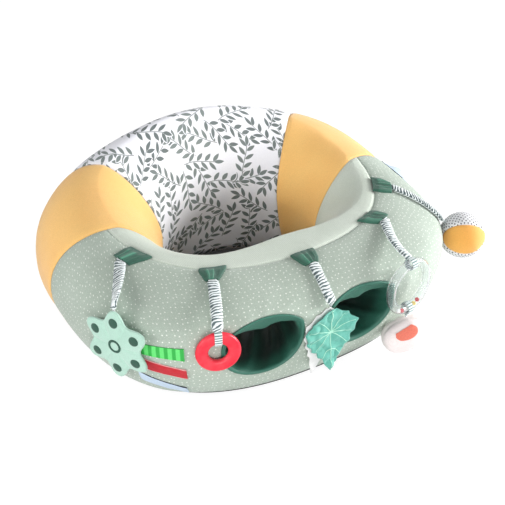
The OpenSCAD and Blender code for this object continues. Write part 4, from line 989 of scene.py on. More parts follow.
# The flat loops round the rings: inner radius or inner half length and width, width and half thickness
RATTLE_LOOP_R = RATTLE_TUBE / 2 + 0.5 + 0.4
TEETHER_LOOP = TEETHER_SECTION + 0.5 + 0.7, 4.5 + 0.5
BAND_W, BAND = 10, 0.75
RATTLE_OFF = max(RATTLE_LOOP_R + 1.5 + LIE, CUSHION_REACH - 8)
# Angle of each toy round the ring, distance of its middle from it, and height
PENDANT = -62.7, PENDANT_T / 2 + LIE, 103
TEETHER_RING = -37.7, 9 / 2 + LIE, 104
LEAF_TOY = -2.5, LEAF_T / 2 + LIE, 71.5
RATTLE = 26, RATTLE_OFF, 116
CUSHION = 26, RATTLE_OFF, 34
BALL = 61.5, BALL_R + LIE, 98
# Tab's angle at its seam and at its end; angle, distance and height of the toy's end; the gap above
# it; the strap's lean over the toy; and whether it is drawn to a point there
Strap = namedtuple("Strap", "tab_seam tab_end a off z gap lean taper")
STRAPS = [Strap(-73, -75, *PENDANT[:2], PENDANT[2] + PENDANT_R, 0.6, 0, True),
          Strap(-43.5, -42, *TEETHER_RING[:2], TEETHER_RING[2] + TEETHER_R - TEETHER_SECTION,
                TEETHER_LOOP[0] + BAND, 0, False),
          Strap(0.5, 0, *LEAF_TOY[:2], LEAF_TOY[2] + LEAF_H / 2, 0.6, 0, True),
          Strap(46, 46, *RATTLE[:2], RATTLE[2] + RATTLE_R, RATTLE_LOOP_R + BAND, 35, False),
          Strap(71, 68.5, BALL[0], BALL[1] - BALL_R * sd(BALL_LEAN), BALL[2] + BALL_R * cd(BALL_LEAN),
                1.3, BALL_LEAN, True)]
TAB_W, TAB_L, STRAP_T = 38, 28, 6
TAB_END_W = 27, 15, 18, 28, 27
# A gathered strap's width and thickness at the crests of its ribs, their pitch and slant
GATHER_W, GATHER_T, RIB_PITCH, RIB_SLANT = 16.5, 6.8, 4.8, 0.75


def scale_at(a, v):
    """Millimetres to a degree and to a step of v at a place on the ring."""
    return (np.linalg.norm(ring_point(a + 1, v) - ring_point(a - 1, v), axis=-1) / 2,
            np.linalg.norm(ring_point(a, v + 0.05) - ring_point(a, v - 0.05), axis=-1) / 0.1)


def by_seam(a, w, s, d):
    """The point w along the crest's seam from angle a, s outwards over the ring, and d above it."""
    v = crest_v(a)
    per_deg, per_v = scale_at(a, v)
    return on_ring(a + w / per_deg, v - s / per_v, d)


# ---- Tabs: a folded strip of dark green cotton, sewn in flat and drawn together at the strap


def pleats(w, k):
    """Height of the folds across a tab, from 0 to 1, with overlapping pleats."""
    out = 0.55 + 0.18 * np.cos(np.pi * w * 1.3 + k)
    for at, high in ((-0.42 + 0.05 * (k % 3), 0.42), (0.12 - 0.06 * (k % 2), 0.5), (0.6, 0.3)):
        x = w - at
        out = out + high * np.where(x < 0, np.exp(x / 0.2), np.exp(-x / 0.03)) * (x > -0.6)
    return np.minimum(out, 1.25)


for k, strap in enumerate(STRAPS):
    tt, ww = grid(np.linspace(-0.05, 1, 30), np.linspace(-1, 1, 65))
    tc = np.clip(tt, 0, 1)
    half = lerp(TAB_W / 2, TAB_END_W[k] / 2, tc ** 1.6) * (1 + 0.03 * np.sin(7 * tc + k))
    edge = np.clip(1 - np.abs(ww) ** 10, 0, 1) ** 0.5
    fold = pleats(ww + 0.05 * np.sin(4 * tc + 2 * k) + 0.03 * noise(points(ww * 4, tt * 6), 2, k), k)
    soft = 0.25 * noise(points(ww * 14, tt * 9), 2.5, k + 3)
    high = 2.2 + 2.6 * fold * smooth(tc, -0.05, 0.35) + 1.6 * bump(ww, 0.5) * smooth(tc, 0.4, 1) + soft
    a = lerp(float(strap.tab_seam), float(strap.tab_end), tc)
    upper, under = (by_seam(a, ww * half, TAB_L * tt, LIE + d) for d in (high * edge + 0.2, 0 * high))
    # The ridge attribute sets the painted highlight on the folds.
    o = slab(f"pleated_tab_{k + 1}", upper, under, points(ww * half, TAB_L * tt),
             {"ridge": fold * smooth(tc, 0, 0.3)})
    finish_piece(o, TAB, "seat", "tab_cloth", [f"tab_{k + 1}"])

# ---- Straps: gathered elastic from a tab to a toy, on the same path as the CAD solid


def strap_rise(strap):
    return np.array([0, 0, cd(strap.lean)]) - out_dir(strap.a) * sd(strap.lean)


def strap_face(strap):
    return np.array([0, 0, sd(strap.lean)]) + out_dir(strap.a) * cd(strap.lean)


def strap_path(strap):
    """Points and outward directions along the middle of a strap, and its direction at the tab."""
    a0, a1 = float(strap.tab_end), float(strap.a)
    end = hang(a1, strap.off, strap.z) + strap_rise(strap) * strap.gap
    turn = end + strap_rise(strap) * min(10, (float(ring_h(a1)) - end[2]) / 2)
    v0 = float(crest_v(a0) - (TAB_L + 1) / scale_at(a0, crest_v(a0))[1])
    reach_v = float(outer_v(a1, turn[2]))
    v1 = min(reach_v, v0 - 0.3)
    leave = 1.3 if reach_v > v1 else 2.5
    lift = LIE + STRAP_T / 2
    flat = lambda a, v: section(a, v)[0] * np.array([sd(a), -cd(a)])
    gap = turn - on_ring(np.array(a1), np.array(v1), lift)
    r0, r1 = section(a0, v0)[0], section(a1, v1)[0]
    pts, ups = [], []
    for t in np.linspace(0, 1, 160):
        va = lerp(v0, v1, t)
        r = section(lerp(a0, a1, t), va)[0]
        x, y = lerp(flat(a0, v0), flat(a1, v1), (r - r0) / (r1 - r0))
        a = np.array(math.degrees(math.atan2(x, -y)))
        pts.append(on_ring(a, np.array(va), lift) + gap * t ** leave)
        ups.append(unit(ring_normal(a, np.array(va)) * (1 - t) + strap_face(strap) * t))
    for q in np.arange(1, 25) / 24:
        pts.append(lerp(turn, end, q))
        ups.append(strap_face(strap))
    across = ring_point(a0 + 0.2, v0) - ring_point(a0 - 0.2, v0)
    return np.array(pts), np.array(ups), unit(np.cross(across, ring_normal(np.array(a0), np.array(v0))))


def gathered(name, pts, ups, first, taper, seed):
    """A soft tube of gathered cloth, whose ribs run round it on a slant like a rope's."""
    both, s = resample(np.hstack([pts, ups]), 0.5)
    for _ in range(12):
        both[1:-1] = (both[:-2] + 2 * both[1:-1] + both[2:]) / 4
    path, up = both[:, :3], unit(both[:, 3:])
    along = unit(np.gradient(path, axis=0))
    if first is not None:
        along = unit(lerp(first, along, np.clip(s / 10, 0, 1)[:, None]))
    side = unit(np.cross(up, along))
    up = np.cross(along, side)
    c = np.arange(0, 360, 10.0)
    ss, cc = s[:, None], c[None, :]
    key = points(ss, cd(cc) * 7, sd(cc) * 3)
    slant = RIB_SLANT * smooth(ss, 8, 26) + 0.35 * noise(key[:, :1] * [1, 0, 0], 13, seed)
    turns = ss / RIB_PITCH + slant * cd(cc) + 0.3 * noise(key, 6, seed + 1) + 0.25 * (sd(cc) < 0)
    rib = np.abs(np.sin(np.pi * turns)) ** 0.7
    uneven = 1 + 0.06 * noise(key, 5, seed + 2)
    left = s[-1] - s
    tip = 0.14 + 0.86 * smooth(left, 0, 12) if taper else 0.8 + 0.2 * smooth(left, 0, 8)
    size = uneven * (tip * (0.7 + 0.3 * smooth(s, 0, 5)))[:, None]
    half_w = (GATHER_W / 2 - 2.9 * (1 - rib) * np.abs(cd(cc))) * size
    half_t = (GATHER_T / 2 - 1.6 * (1 - rib)) * size
    rings = path[:, None] + side[:, None] * (spow(cd(cc), 0.8) * half_w)[..., None] + \
        up[:, None] * (spow(sd(cc), 0.8) * half_t)[..., None]
    across = np.broadcast_to(cd(cc) * np.sign(sd(cc) + 0.01), turns.shape)
    attrs = {"turns": np.concatenate([turns.ravel(), turns[:1, 0], turns[-1:, 0]]),
             "across": np.append(across, [0, 0])}
    return loft(name, rings, u=there_and_back(c / 360 + 0.25, GATHER_W), attrs=attrs)


def spow(x, e):
    """A power that keeps the sign."""
    return np.sign(x) * np.abs(x) ** e


def stadium_band(name, half_l, half_w, toy, z):
    """A flat elastic band round a ring's section, at height z on a toy. Its long axis is the toy's z."""
    straight = max(half_l - half_w, 0)
    cross = np.linspace(0, 360, 17)[:-1]
    flat = points(spow(cd(cross), 0.5) * BAND_W / 2, 0, 0)
    y = spow(sd(cross), 0.6) * BAND
    place, rings = hung(*toy), []
    for q in np.arange(0, 360, 6.0):
        n = np.array([0, sd(q), cd(q)])
        mid = half_w * n + [0, 0, np.sign(cd(q)) * straight * min(1, abs(cd(q)) * 6)]
        rings.append(place(mid + flat + np.outer(y + 0.15 * sd(q * 9), n) + [0, 0, z]))
    rings = np.array(rings)
    m, n = rings.shape[:2]
    s = np.cumsum(np.linalg.norm(np.diff(rings[:, 0], axis=0), axis=1))
    uv = points(there_and_back(cross / 360 + 0.25, BAND_W), np.append(0, s)[:, None])
    return new_object(name, rings, grid_faces(m, n, wrap=True, loop=True, flip=True), uv)


for k, strap in enumerate(STRAPS):
    o = gathered(f"gathered_strap_{k + 1}", *strap_path(strap), strap.taper, 20 + k)
    finish_piece(o, STRAP, f"strap_{k + 1}", "strap_cloth", [f"strap_{k + 1}"])
for name, body, half, toy, z in (
        ("teether_loop", "strap_2", TEETHER_LOOP, TEETHER_RING, TEETHER_R - TEETHER_SECTION),
        ("rattle_upper_loop", "strap_4", (RATTLE_LOOP_R, RATTLE_LOOP_R), RATTLE, RATTLE_R),
        ("rattle_lower_loop", "lower_strap", (RATTLE_LOOP_R, RATTLE_LOOP_R), RATTLE, -RATTLE_R)):
    o = stadium_band(name, half[0] + BAND, half[1] + BAND, toy, z)
    finish_piece(o, LOOP, body, "strap_cloth")
z1, z0 = RATTLE[2] - RATTLE_R - RATTLE_LOOP_R - BAND, CUSHION[2] + CUSHION_HALF[2] + 0.6
pts = np.array([hang(*RATTLE[:2], lerp(z1, z0, q)) for q in np.linspace(0, 1, 20)])
o = gathered("gathered_lower_strap", pts, np.broadcast_to(out_dir(RATTLE[0]), pts.shape), None, True, 31)
finish_piece(o, STRAP, "lower_strap", "strap_cloth", ["lower_strap"])

# ---- Flower pendant: a puffed velour flower with embroidered marks

PETALS, MARK_AT, MARK_R, HEART_R, HEART_TUBE = 6, PENDANT_R * 0.68, 7, 8.2, 1.8
hang_pendant = hung(*PENDANT)


def flower_r(t):
    return PENDANT_R * (1 - 0.28 * (1 - cd(PETALS * (t - 90))) / 2)


def flower_front(r, t):
    """How far the flower's front stands out from its middle plane."""
    q = np.clip(r / flower_r(t), 0, 1)
    cleft = bump((t - 120) % 60, 6) + bump((t - 120) % 60 - 60, 6)
    return 0.9 + 4.6 * (1 - q ** 3) ** 0.7 - 1.3 * cleft * smooth(q, 0.25, 0.6) * (1 - smooth(q, 0.9, 1.0))


q = 1 - (1 - np.linspace(0, 1, 26)[1:]) ** 1.4
qq, tt = grid(q, np.arange(0, 360, 2.0))
rr = qq * flower_r(tt)
x, z = rr * cd(tt), rr * sd(tt)
rim = smooth(qq, 0.9, 0.94) * (1 - smooth(qq, 0.985, 1.0)) * 0.35
front = -(flower_front(rr, tt) + 0.25 * noise(points(x, z), 9, 3) + rim)
back = 0.9 + 1.7 * (1 - qq ** 3) ** 0.7
o = pillow("flower_pendant", points(x, front, z), points(x, back, z), [[0, -5.5, 0], [0, 2.6, 0]],
           hang_pendant)
finish_piece(o, MINT, "pendant", "mint_cloth", ["pendant_front", "pendant_back", "pendant_wadding"])

parts = []
q, t = grid(np.linspace(0, 1, 9)[1:], np.arange(0, 360, 10.0))
for k in range(PETALS):
    cx, cz = MARK_AT * cd(90 + 60 * k), MARK_AT * sd(90 + 60 * k)
    x, z = cx + MARK_R * q * cd(t), cz + MARK_R * q * sd(t)
    y = -(flower_front(np.hypot(x, z), np.degrees(np.arctan2(z, x))) + 0.1 + 0.75 * (1 - q ** 4))
    tip = [cx, -(flower_front(MARK_AT, 90 + 60 * k) + 0.9), cz]
    verts = stacked(points(x, y, z), tip)
    faces = grid_faces(*q.shape, wrap=True, flip=True) + fan_faces(q.shape[1], q.size, flip=True)
    parts.append(new_object(f"petal_mark_{k}", hang_pendant(verts), faces))
q, t = grid(np.arange(0, 360, 30.0), np.arange(0, 360, 7.5))
rad = HEART_R + HEART_TUBE * cd(q)
v = points(rad * cd(t), -(flower_front(rad, t) + 0.1 + 0.8 * sd(q)), rad * sd(t))
parts.append(new_object("heart_mark", hang_pendant(v), grid_faces(*q.shape, wrap=True, loop=True, flip=True)))
finish_piece(join(parts, "pendant_embroidery"), MARK, "pendant", "dark_green_cloth", ["pendant_marks"])

# ---- Leaf: printed cotton front with veins, white cotton back, crinkle film between

# The right half of the outline, in shares of the leaf's width and height
LEAF_SHARES = ((0, 0.5), (0.12, 0.46), (0.2, 0.4), (0.31, 0.38), (0.37, 0.29), (0.5, 0.22), (0.45, 0.1),
               (0.46, 0.03), (0.37, -0.02), (0.37, -0.1), (0.26, -0.14), (0.25, -0.22), (0.15, -0.26),
               (0.11, -0.36))
half = [(x * LEAF_W, z * LEAF_H) for x, z in LEAF_SHARES]
LEAF_LINE = np.array(half + [(0, -LEAF_H / 2)] + [(-x, z) for x, z in half[:0:-1]])
# Where the veins start, their reach up and down, the front's place before the leaf's middle plane, and
# how far a vein arches; then each vein's start and end
HUB, LOW, LEAF_REACH, LEAF_FACE, VEIN_ARCH = (0, 12), (0, -14), 49, -1.9, 2.2
VEINS = [(HUB, (0, LEAF_REACH)), (HUB, (0, -LEAF_REACH))]
for start, ends in ((HUB, ((22, 37), (38, 22), (35, 3), (25, -11))), (LOW, ((14, -26),))):
    VEINS += [(start, (side * x, z)) for x, z in ends for side in (1, -1)]
hang_leaf = hung(*LEAF_TOY)


def leaf_edge(t):
    pts, _ = resample(np.vstack([LEAF_LINE, LEAF_LINE[:1]]), 1.0)
    pa = np.degrees(np.arctan2(pts[:, 1], pts[:, 0])) % 360
    order = np.argsort(pa)
    radius = lambda x: np.interp(x % 360, pa[order], np.hypot(pts[:, 0], pts[:, 1])[order], period=360)
    # The cloth bridges part of each notch between two teeth
    around = np.max([radius(t + d) * (1 - abs(d) / 90) for d in range(-14, 15, 2)], 0)
    return lerp(radius(t), around, 0.25)


def leaf_wave(x, z):
    """The leaf's gentle curl and crumples, outwards from the ring."""
    p = points(x, z)
    r = np.hypot(x, z) / LEAF_REACH
    crumple = np.abs(noise(p, 13, 41)) ** 0.7
    return -(1.8 * r ** 2 + 4.5 * crumple * (0.35 + 0.65 * r) + noise(p, 7, 42) +
             1.4 * smooth(-z, 25, LEAF_REACH))


def leaf_sheet(name, y0, y1, mat, slot, replaces, turn=0.0, size=1.0, wave=1.0, narrow=1.0):
    """A sheet between y0 and y1 from the leaf's middle plane, turned about the leaf's top."""
    qq, tt = grid(np.linspace(0, 1, 34)[1:], np.arange(0, 360, 1.5))
    rr = qq * leaf_edge(tt) * size
    x, z = rr * cd(tt) * narrow, rr * sd(tt)
    soft = 1 - smooth(qq, 0.93, 1.0)
    mid, th = (y0 + y1) / 2, (y1 - y0) / 2
    y, y_mid = leaf_wave(x, z) * wave + mid, float(leaf_wave(np.array(0.0), np.array(0.0))) * wave + mid
    top = np.array([0, 0, LEAF_H / 2])
    o = pillow(name, points(x, y - th * (0.35 + 0.9 * soft), z), points(x, y + th * (0.35 + 0.65 * soft), z),
               [[0, y_mid - th * 1.25, 0], [0, y_mid + th, 0]],
               lambda p: hang_leaf(turned(p - top, turn) + top))
    finish_piece(o, mat, "leaf", slot, replaces)
    edge = rr[-1] * MM
    area = 0.5 * narrow * np.sum(edge * np.roll(edge, -1)) * sd(1.5)


leaf_sheet("leaf_front_cloth", LEAF_FACE, -0.3, LEAF, "leaf_cloth", ["leaf_front"])
leaf_sheet("crinkle_sheet", -0.3, 0.3, FILM, "film", ["leaf_film"], size=0.75, wave=0.8)
leaf_sheet("leaf_back_cloth", 0.4, 1.5, WHITE_CLOTH, "white_cloth", ["leaf_back"], turn=-16, wave=0.12,
           narrow=0.74)
parts = []
for k, (start, end) in enumerate(VEINS):
    q = np.linspace(0, 1, 40)[:, None]
    x, z = lerp(np.array(start, float), np.array(end, float), q).T
    z = z + (VEIN_ARCH * np.sin(np.pi * q[:, 0]) if end[0] else 0)
    path = points(x, leaf_wave(x, z) + LEAF_FACE - 0.25, z)
    radius = 0.8 if k == 0 else np.linspace(0.75, 0.35, 40)
    parts.append(loft(f"vein_{k}", hang_leaf(tube(path, radius))))
finish_piece(join(parts, "leaf_veins"), VEIN, "leaf")

# ---- Ball: two orange caps and a dotted zone, sewn together, on wadding

# The panels' axis leans 14 degrees from level and is turned 92; their seam is this oval
BALL_TILT, BALL_TURN, BALL_SEAM = 90 - 14, -92, (32, 23)
hang_ball = hung(*BALL)


def ball_seam(lon):
    """Angle from the panels' axis to the seam."""
    return np.degrees(np.arcsin(1 / np.hypot(cd(lon) / BALL_SEAM[0], sd(lon) / BALL_SEAM[1]) / BALL_R))


def ball_surface(polar, lon):
    p = points(sd(polar) * cd(lon), sd(polar) * sd(lon), cd(polar))
    seam = ball_seam(lon)
    away = np.minimum(np.abs(polar - seam), np.abs(180 - seam - polar)) * np.pi / 180 * BALL_R
    gathers = np.sin(np.radians(lon * 30) + 2 * noise(p * BALL_R, 8, 51))
    r = BALL_R + 0.5 - 1.7 * bump(away, 1.7) + 0.35 * noise(p * BALL_R, 13, 50)
    r = r + 0.32 * gathers * np.exp(-away / 4) * (1 - bump(away, 1.0))
    return turned(turned(p * r[..., None], BALL_TILT, 1, 2), BALL_TURN, 0, 1)


def ball_patch(name, side, mat, slot=None, replaces=()):
    """An orange cap at one end of the axis (side 1 or -1), or the dotted zone between them (0)."""
    q, lon = grid(np.linspace(0 if side == 0 else 0.005, 1, 36), np.arange(0, 360, 2.5))
    seam = ball_seam(lon)
    polar = lerp(seam, 180 - seam, q) if side == 0 else q * seam if side > 0 else 180 - (1 - q + 0.005) * seam
    if side:
        uv = points(polar * cd(lon), polar * sd(lon)) * np.pi / 180 * BALL_R
    else:
        uv = points(np.radians(lon + polar), np.radians(polar - lon)) * BALL_R * math.sqrt(0.5)
    o = new_object(name, hang_ball(ball_surface(polar, lon)), grid_faces(*q.shape, wrap=True), uv)
    thicken(o, 1.3)
    return finish_piece(o, mat, "ball", slot, replaces)


o = join([ball_patch(f"ball_cap_{side}", side, BALL_ORANGE) for side in (1, -1)], "ball_orange_caps")
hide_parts("ball_orange_panels")
ball_patch("ball_dotted_zone", 0, BALL_DOTTED, "ball_dotted_cloth", ["ball_dotted_panels"])

# ---- Ribbons: folded satin, sewn to the cover

RIBBON_L, RIBBON_HALF_W = 60, 9


def ribbon(name, node, a0, v0, v1, mat, edge_mat, edge, slot, seed, bulge=0.0):
    """A ribbon from angle a0, at v0, to its other end at v1, with a border of this width."""
    per_deg, per_v = scale_at(a0, (v0 + v1) / 2)
    ii, jj = np.meshgrid(np.linspace(0, 1, 61), np.linspace(-1, 1, 21))
    uv = points(ii * RIBBON_L, jj * RIBBON_HALF_W)
    lift = LIE + 1.0 + 0.5 * np.abs(noise(uv, 15, seed)) + 0.3 * noise(uv, 6, seed + 1) \
        - 0.7 * bump(ii, 0.04) + 0.5 * smooth(ii, 0.75, 1.0) + 0.25 * bump(np.abs(jj) - 0.93, 0.05)
    a, vv = a0 + RIBBON_L / per_deg * ii, lerp(v0, v1, ii) + jj * RIBBON_HALF_W / per_v
    away = bulge * (1 - jj) / 2 * np.sin(np.pi * ii ** 1.6)
    upper = on_ring(a, vv, lift + away)
    o = slab(name, upper, on_ring(a, vv, np.where(away > 1, lift - 1.0, LIE - 0.1) + away), uv)
    finish_piece(o, [mat, edge_mat], "seat", slot, [node])
    sewn(upper, wrap=False)
    from_middle = np.abs(uv[..., 1]).ravel()
    for poly in o.data.polygons:
        innermost = min(from_middle[x % from_middle.size] for x in poly.vertices)
        poly.material_index = int(innermost > RIBBON_HALF_W - edge)


ribbon("green_ribbon", "ribbon_green", -57, 1.01, 0.95, GREEN_SATIN, GREEN_EDGE, 0.8, "green_satin", 60)
ribbon("red_ribbon", "ribbon_red", -57, 0.855, 0.735, RED_SATIN, PINK_EDGE, 1.3, "red_satin", 63)
ribbon("blue_ribbon", "ribbon_blue", -58.5, 0.67, 0.455, BLUE_SATIN, DARK_EDGE, 0.8, "blue_satin", 66)
ribbon("right_blue_ribbon", "ribbon_right", 81, 1.37, 1.38, BLUE_SATIN, DARK_EDGE, 0.8, "blue_satin", 69, 13)

# ---- Cushion toy, seat pad and what is inside

CLOTH_FRAMES, CLOTH_STIFFNESS = 18, 12.0
hang_cushion = hung(*CUSHION)


def cushion_point(lon, lat, by):
    """A point of the rounded cushion, in the world, scaled from its middle."""
    c = spow(cd(lat), 0.85)
    w, d, h = CUSHION_HALF
    p = points(w * c * spow(sd(lon), 0.85), -d * c * spow(cd(lon), 0.85), h * spow(sd(lat), 0.85)) * by
    return hang_cushion(turned(turned(p, CUSHION_LEAN), -CUSHION_TURN, 0, 1))


def simulate(o, voxel, pressure, cap):
    """Swells a piece as cloth under air pressure, with gravity off, and moves no point further than cap."""
    remesh(o, voxel)
    bake(o)
    before = points_of(o)
    c = modifier(o, "CLOTH")
    c.collision_settings.use_collision = False
    c.point_cache.frame_start, c.point_cache.frame_end = 1, CLOTH_FRAMES
    st = c.settings
    st.quality, st.mass, st.bending_stiffness = 5, 0.15, 0.3
    st.tension_stiffness = st.compression_stiffness = CLOTH_STIFFNESS
    st.shear_stiffness = CLOTH_STIFFNESS / 2
    st.use_pressure, st.uniform_pressure_force = True, pressure
    st.effector_weights.gravity = 0
    scene = bpy.context.scene
    for f in range(1, CLOTH_FRAMES + 1):
        scene.frame_set(f)
    bake(o)
    scene.frame_set(1)
    move = points_of(o) - before
    far = np.linalg.norm(move, axis=1, keepdims=True)
    set_points(o, before + move * np.minimum(1, cap / np.maximum(far, 1e-6)))
    modifier(o, "SUBSURF", levels=1, render_levels=1)
    bake(o)
    shade_smooth(o.data)


lat, lon = grid(np.arange(-80, 81, 8), np.arange(0, 360, 7.5))
ends = [cushion_point(0.0, float(lat), 0.94) for lat in (-90, 90)]
cushion = new_object("plush_cushion", stacked(cushion_point(lon, lat, 0.94), ends), closed_faces(*lat.shape))
simulate(cushion, 3.2, 3.0, 1.3)
p = points_of(cushion)
mid = cushion_point(0.0, 0.0, 0.0)
outwards = unit(cushion_point(0.0, 0.0, 1.0) - mid)
radial = unit(p - mid)
# The two halves meet in a seam round the edge
swell = 0.35 * noise(p, 7, 70) + 0.2 * noise(p, 3, 71) - 1.5 * bump((p - mid) @ outwards - 1.0, 1.6)
set_points(cushion, p + radial * swell[:, None])
finish_piece(cushion, PINK, "cushion", "pink_cloth", ["cushion_body"])

# A disc with a straight top, half a radius above its middle
PATCH_R, PATCH_TURN, PATCH_LON, PATCH_LAT = 26, 20, -2, 33
q, t = grid(np.linspace(0, 1, 14)[1:], np.arange(0, 360, 7.5))
q = q * np.where(sd(t) > 0.5, 0.5 / np.maximum(sd(t), 0.5), 1)
lon = np.append(PATCH_R * q * cd(t + PATCH_TURN), 0) + PATCH_LON
lat = np.append(PATCH_R * q * sd(t + PATCH_TURN), 0) + PATCH_LAT
faces = grid_faces(*q.shape, wrap=True, flip=True) + fan_faces(q.shape[1], q.size, flip=True)
patch = new_object("coral_patch", cushion_point(lon, lat, 1.06), faces)
modifier(patch, "SHRINKWRAP", wrap_method="NEAREST_SURFACEPOINT", wrap_mode="OUTSIDE_SURFACE",
         target=cushion, offset=0.4 * MM)
bake(patch)
thicken(patch, 0.9, offset=1)
finish_piece(patch, CORAL, "cushion", "coral_cloth", ["cushion_patch"])

PAD_T, PAD_QUILT = 10, 0.6


def pad_edge(a):
    """Distance from the middle to the pad's edge, just inside the well."""
    up = PAD_T / 2 / (ring_h(a) * 0.5)
    return plan_r(a, *WELL) + WELL_FLARE * (1 - np.sqrt(1 - (1 - up) ** 2)) - 4


# The pad's section as (share of the edge, height): its floor, its round side and its quilted top
profile = [(u, 0.0) for u in (0.2, 0.4, 0.6, 0.8, 0.94)]
profile += [(0.97 + 0.03 * sd(x), (PAD_T - PAD_T * cd(x)) / 2) for x in range(25, 151, 25)]
profile += [(u, PAD_T + 10 * (1 - u * u) - 2.0 * bump(u - PAD_QUILT, 0.05))
            for u in (0.94, 0.88, 0.82, 0.76, 0.7, 0.64, 0.6, 0.56, 0.5, 0.42, 0.34, 0.26, 0.18, 0.1)]
a = np.linspace(0, 360, 120, endpoint=False)
pad = loft("seat_cushion", [points(pad_edge(a) * u * sd(a), -pad_edge(a) * u * cd(a), FABRIC + z)
                            for u, z in profile])
pad.data.transform(Matrix.Diagonal((0.975, 0.975, 0.97, 1)))
simulate(pad, 5.0, 3.0, 3.0)
p = points_of(pad)
u = np.hypot(p[:, 0], p[:, 1]) / pad_edge(np.degrees(np.arctan2(p[:, 0], -p[:, 1])))
swell = 0.5 * noise(p, 22, 75) - 2.2 * bump(u - PAD_QUILT, 0.03) - 1.2 * bump(u - 0.93, 0.03)
p[:, 2] = np.maximum(p[:, 2] + np.where(p[:, 2] > 8, swell, 0), FABRIC + 0.1)
set_points(pad, p)
set_uv(pad.data, p[:, :2])
finish_piece(pad, PAD_CLOTH, "seat", "pad_cloth", ["seat_pad"])


def copy_of(node, name, mat, body, slot, voxel, rounds, lump=0.0):
    """A rounded, lumpy copy of a soft CAD solid that lies out of sight."""
    o = place_object(name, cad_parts[node].data.copy())
    modifier(o, "WELD", merge_threshold=1e-5)
    remesh(o, voxel)
    modifier(o, "SMOOTH", factor=0.5, iterations=rounds)
    bake(o)
    p = points_of(o)
    set_points(o, p - unit(p - p.mean(0)) * (lump * (0.6 + 0.4 * noise(p, 9, 80)))[:, None])
    shade_smooth(o.data)
    finish_piece(o, mat, body, slot, [node])


copy_of("bladder", "air_ring", VINYL, "seat", "vinyl", 6, 3)
copy_of("ball_stuffing", "ball_wadding", WADDING, "ball", "wadding", 2.5, 2, 0.6)

# ---- CAD nodes whose shape is right get their finish

for nodes, mat in (
        (["teether_ring"], TEETHER),
        (["rattle_ring"], plastic("clear_plastic", (252, 253, 254), rough=0.02, mottle=0.002, trans=0.97,
                                  ior=1.2, spec=0.9, relief=0.1)),
        (["beads_white"], plastic("white_bead", (245, 245, 242), rough=0.18, coat=0.3)),
        (["beads_red"], plastic("red_bead", (196, 22, 40), rough=0.18, coat=0.3)),
        (["bead_yellow"], plastic("yellow_bead", (244, 212, 92), rough=0.18, coat=0.3)),
        (["squeaker"], plastic("squeaker_plastic", (236, 234, 228), rough=0.35, mottle=0.04)),
        (["valve_stem", "valve_plug"], VALVE),
        (["zip_tape"], cloth("zip_tape", (222, 222, 230), pitch=0.8, uvs=False)),
        (["zip_teeth"], plastic("zip_teeth", (238, 238, 242), mottle=0.04)),
        (["zip_slider", "zip_puller"], ZIP_METAL),
        (["bell"], metal("bell_brass", (222, 178, 92), 0.25)),
        (["bell_pellet"], metal("pellet_steel", (196, 198, 202), 0.2))):
    for node in nodes:
        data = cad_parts[node].data
        for k in range(len(data.materials)):
            data.materials[k] = mat

# ---- Floor, light and camera

FLOOR_HALF, FLOOR_DROP = 6000, 0.2
FLOOR_GLOW, FLOOR_SEEN, WORLD_LIGHT = 1.15, 0.8, 0.35

s = Shader("studio_floor")
s.set(Base_Color=srgb((240, 240, 241)), Roughness=0.9, Specular_IOR_Level=0.1)
s.bumps((s.noise(s.place(), 60, 3, 0.5), 0.05, 0.2))
# To the camera the floor is near white, and keeps a part of its shadows
both = s.add("MixShader", s.add("LightPath") * FLOOR_SEEN, Wire(s, s.bsdf.outputs[0]),
             s.add("Emission", WHITE, FLOOR_GLOW))
s.put(s.tree.nodes["Material Output"].inputs[0], both)
floor = new_object("studio_floor_plane", [(x * FLOOR_HALF, y * FLOOR_HALF, 0) for x, y in
                                          ((-1, -1), (1, -1), (1, 1), (-1, 1))], [[0, 1, 2, 3]])
floor.location.z = -FLOOR_DROP * MM
floor.data.materials.append(s.mat)

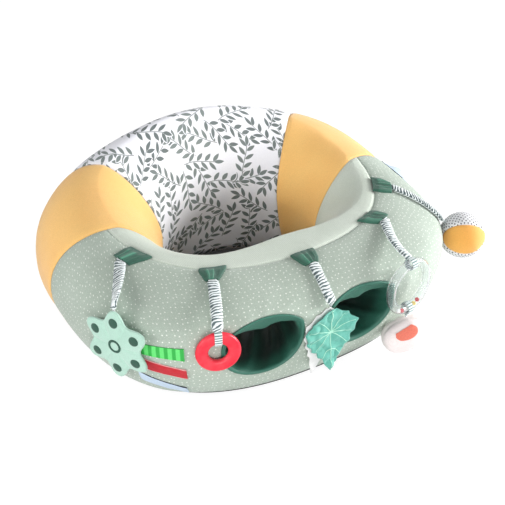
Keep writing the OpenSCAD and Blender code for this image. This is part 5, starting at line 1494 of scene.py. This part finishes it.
# The world lights the seat dimly, but is bright where it is seen, mirrored or looked at through plastic
world = bpy.data.worlds.new("studio")
bpy.context.scene.world = world
world.use_nodes = True
w = Nodes(world.node_tree)
w.tree.nodes.clear()
seen, mirrored, through = (w.add("LightPath", out=f"Is {kind} Ray")
                           for kind in ("Camera", "Glossy", "Transmission"))
blend = w.add("MixShader", w.m("MAXIMUM", w.m("MAXIMUM", seen, mirrored), through),
              w.add("Background", (0.97, 0.98, 1.0, 1), WORLD_LIGHT), w.add("Background", WHITE, 1.0))
w.put(w.tree.nodes.new("ShaderNodeOutputWorld").inputs[0], blend)

# Lamps: place in metres and power in watts, all discs that face the middle of the seat
LAMP_D, LAMP_TARGET = 1.2, Vector((0, 0, 0.1))
for name, where, power in (("right", (2.6, -0.9, 0.8), 116), ("left", (-2.3, -0.2, 1.0), 24),
                           ("front", (-0.9, -2.3, 0.4), 28), ("top", (-0.3, 0.7, 2.4), 3)):
    data = bpy.data.lights.new(name, "AREA")
    data.shape, data.size, data.energy = "DISK", LAMP_D, power
    lamp = place_object(name, data)
    lamp.location = where
    lamp.rotation_euler = (LAMP_TARGET - Vector(where)).to_track_quat("-Z", "Y").to_euler()

# The camera's place, and the photograph's size, focal length and middle in pixels, which were found
# by fitting the outline
AZ, EL, ROLL = (math.radians(angle) for angle in (-30.7, 30.0, -0.8))
DIST, TARGET = 1.414, Vector((0, 0, 0.12))
PHOTO, FOCAL, MIDDLE_X, MIDDLE_Y = 505, 918, 242.6, 229.3
back = Vector((math.sin(AZ) * math.cos(EL), -math.cos(AZ) * math.cos(EL), math.sin(EL)))
right = Vector((math.cos(AZ), math.sin(AZ), 0))
upward = back.cross(right)
cam_x = math.cos(ROLL) * right + math.sin(ROLL) * upward
cam_y = -math.sin(ROLL) * right + math.cos(ROLL) * upward
camera = place_object("camera", bpy.data.cameras.new("camera"))
facing = Matrix((cam_x, cam_y, back)).transposed().to_4x4()
camera.matrix_world = Matrix.Translation(TARGET + back * DIST) @ facing
camera.data.sensor_width, camera.data.lens = 36, FOCAL / PHOTO * 36
camera.data.shift_x, camera.data.shift_y = (PHOTO / 2 - MIDDLE_X) / PHOTO, (MIDDLE_Y - PHOTO / 2) / PHOTO
camera.data.clip_start, camera.data.clip_end = 0.05, 50
bpy.context.scene.camera = camera
bpy.context.scene.view_settings.view_transform = "Standard"
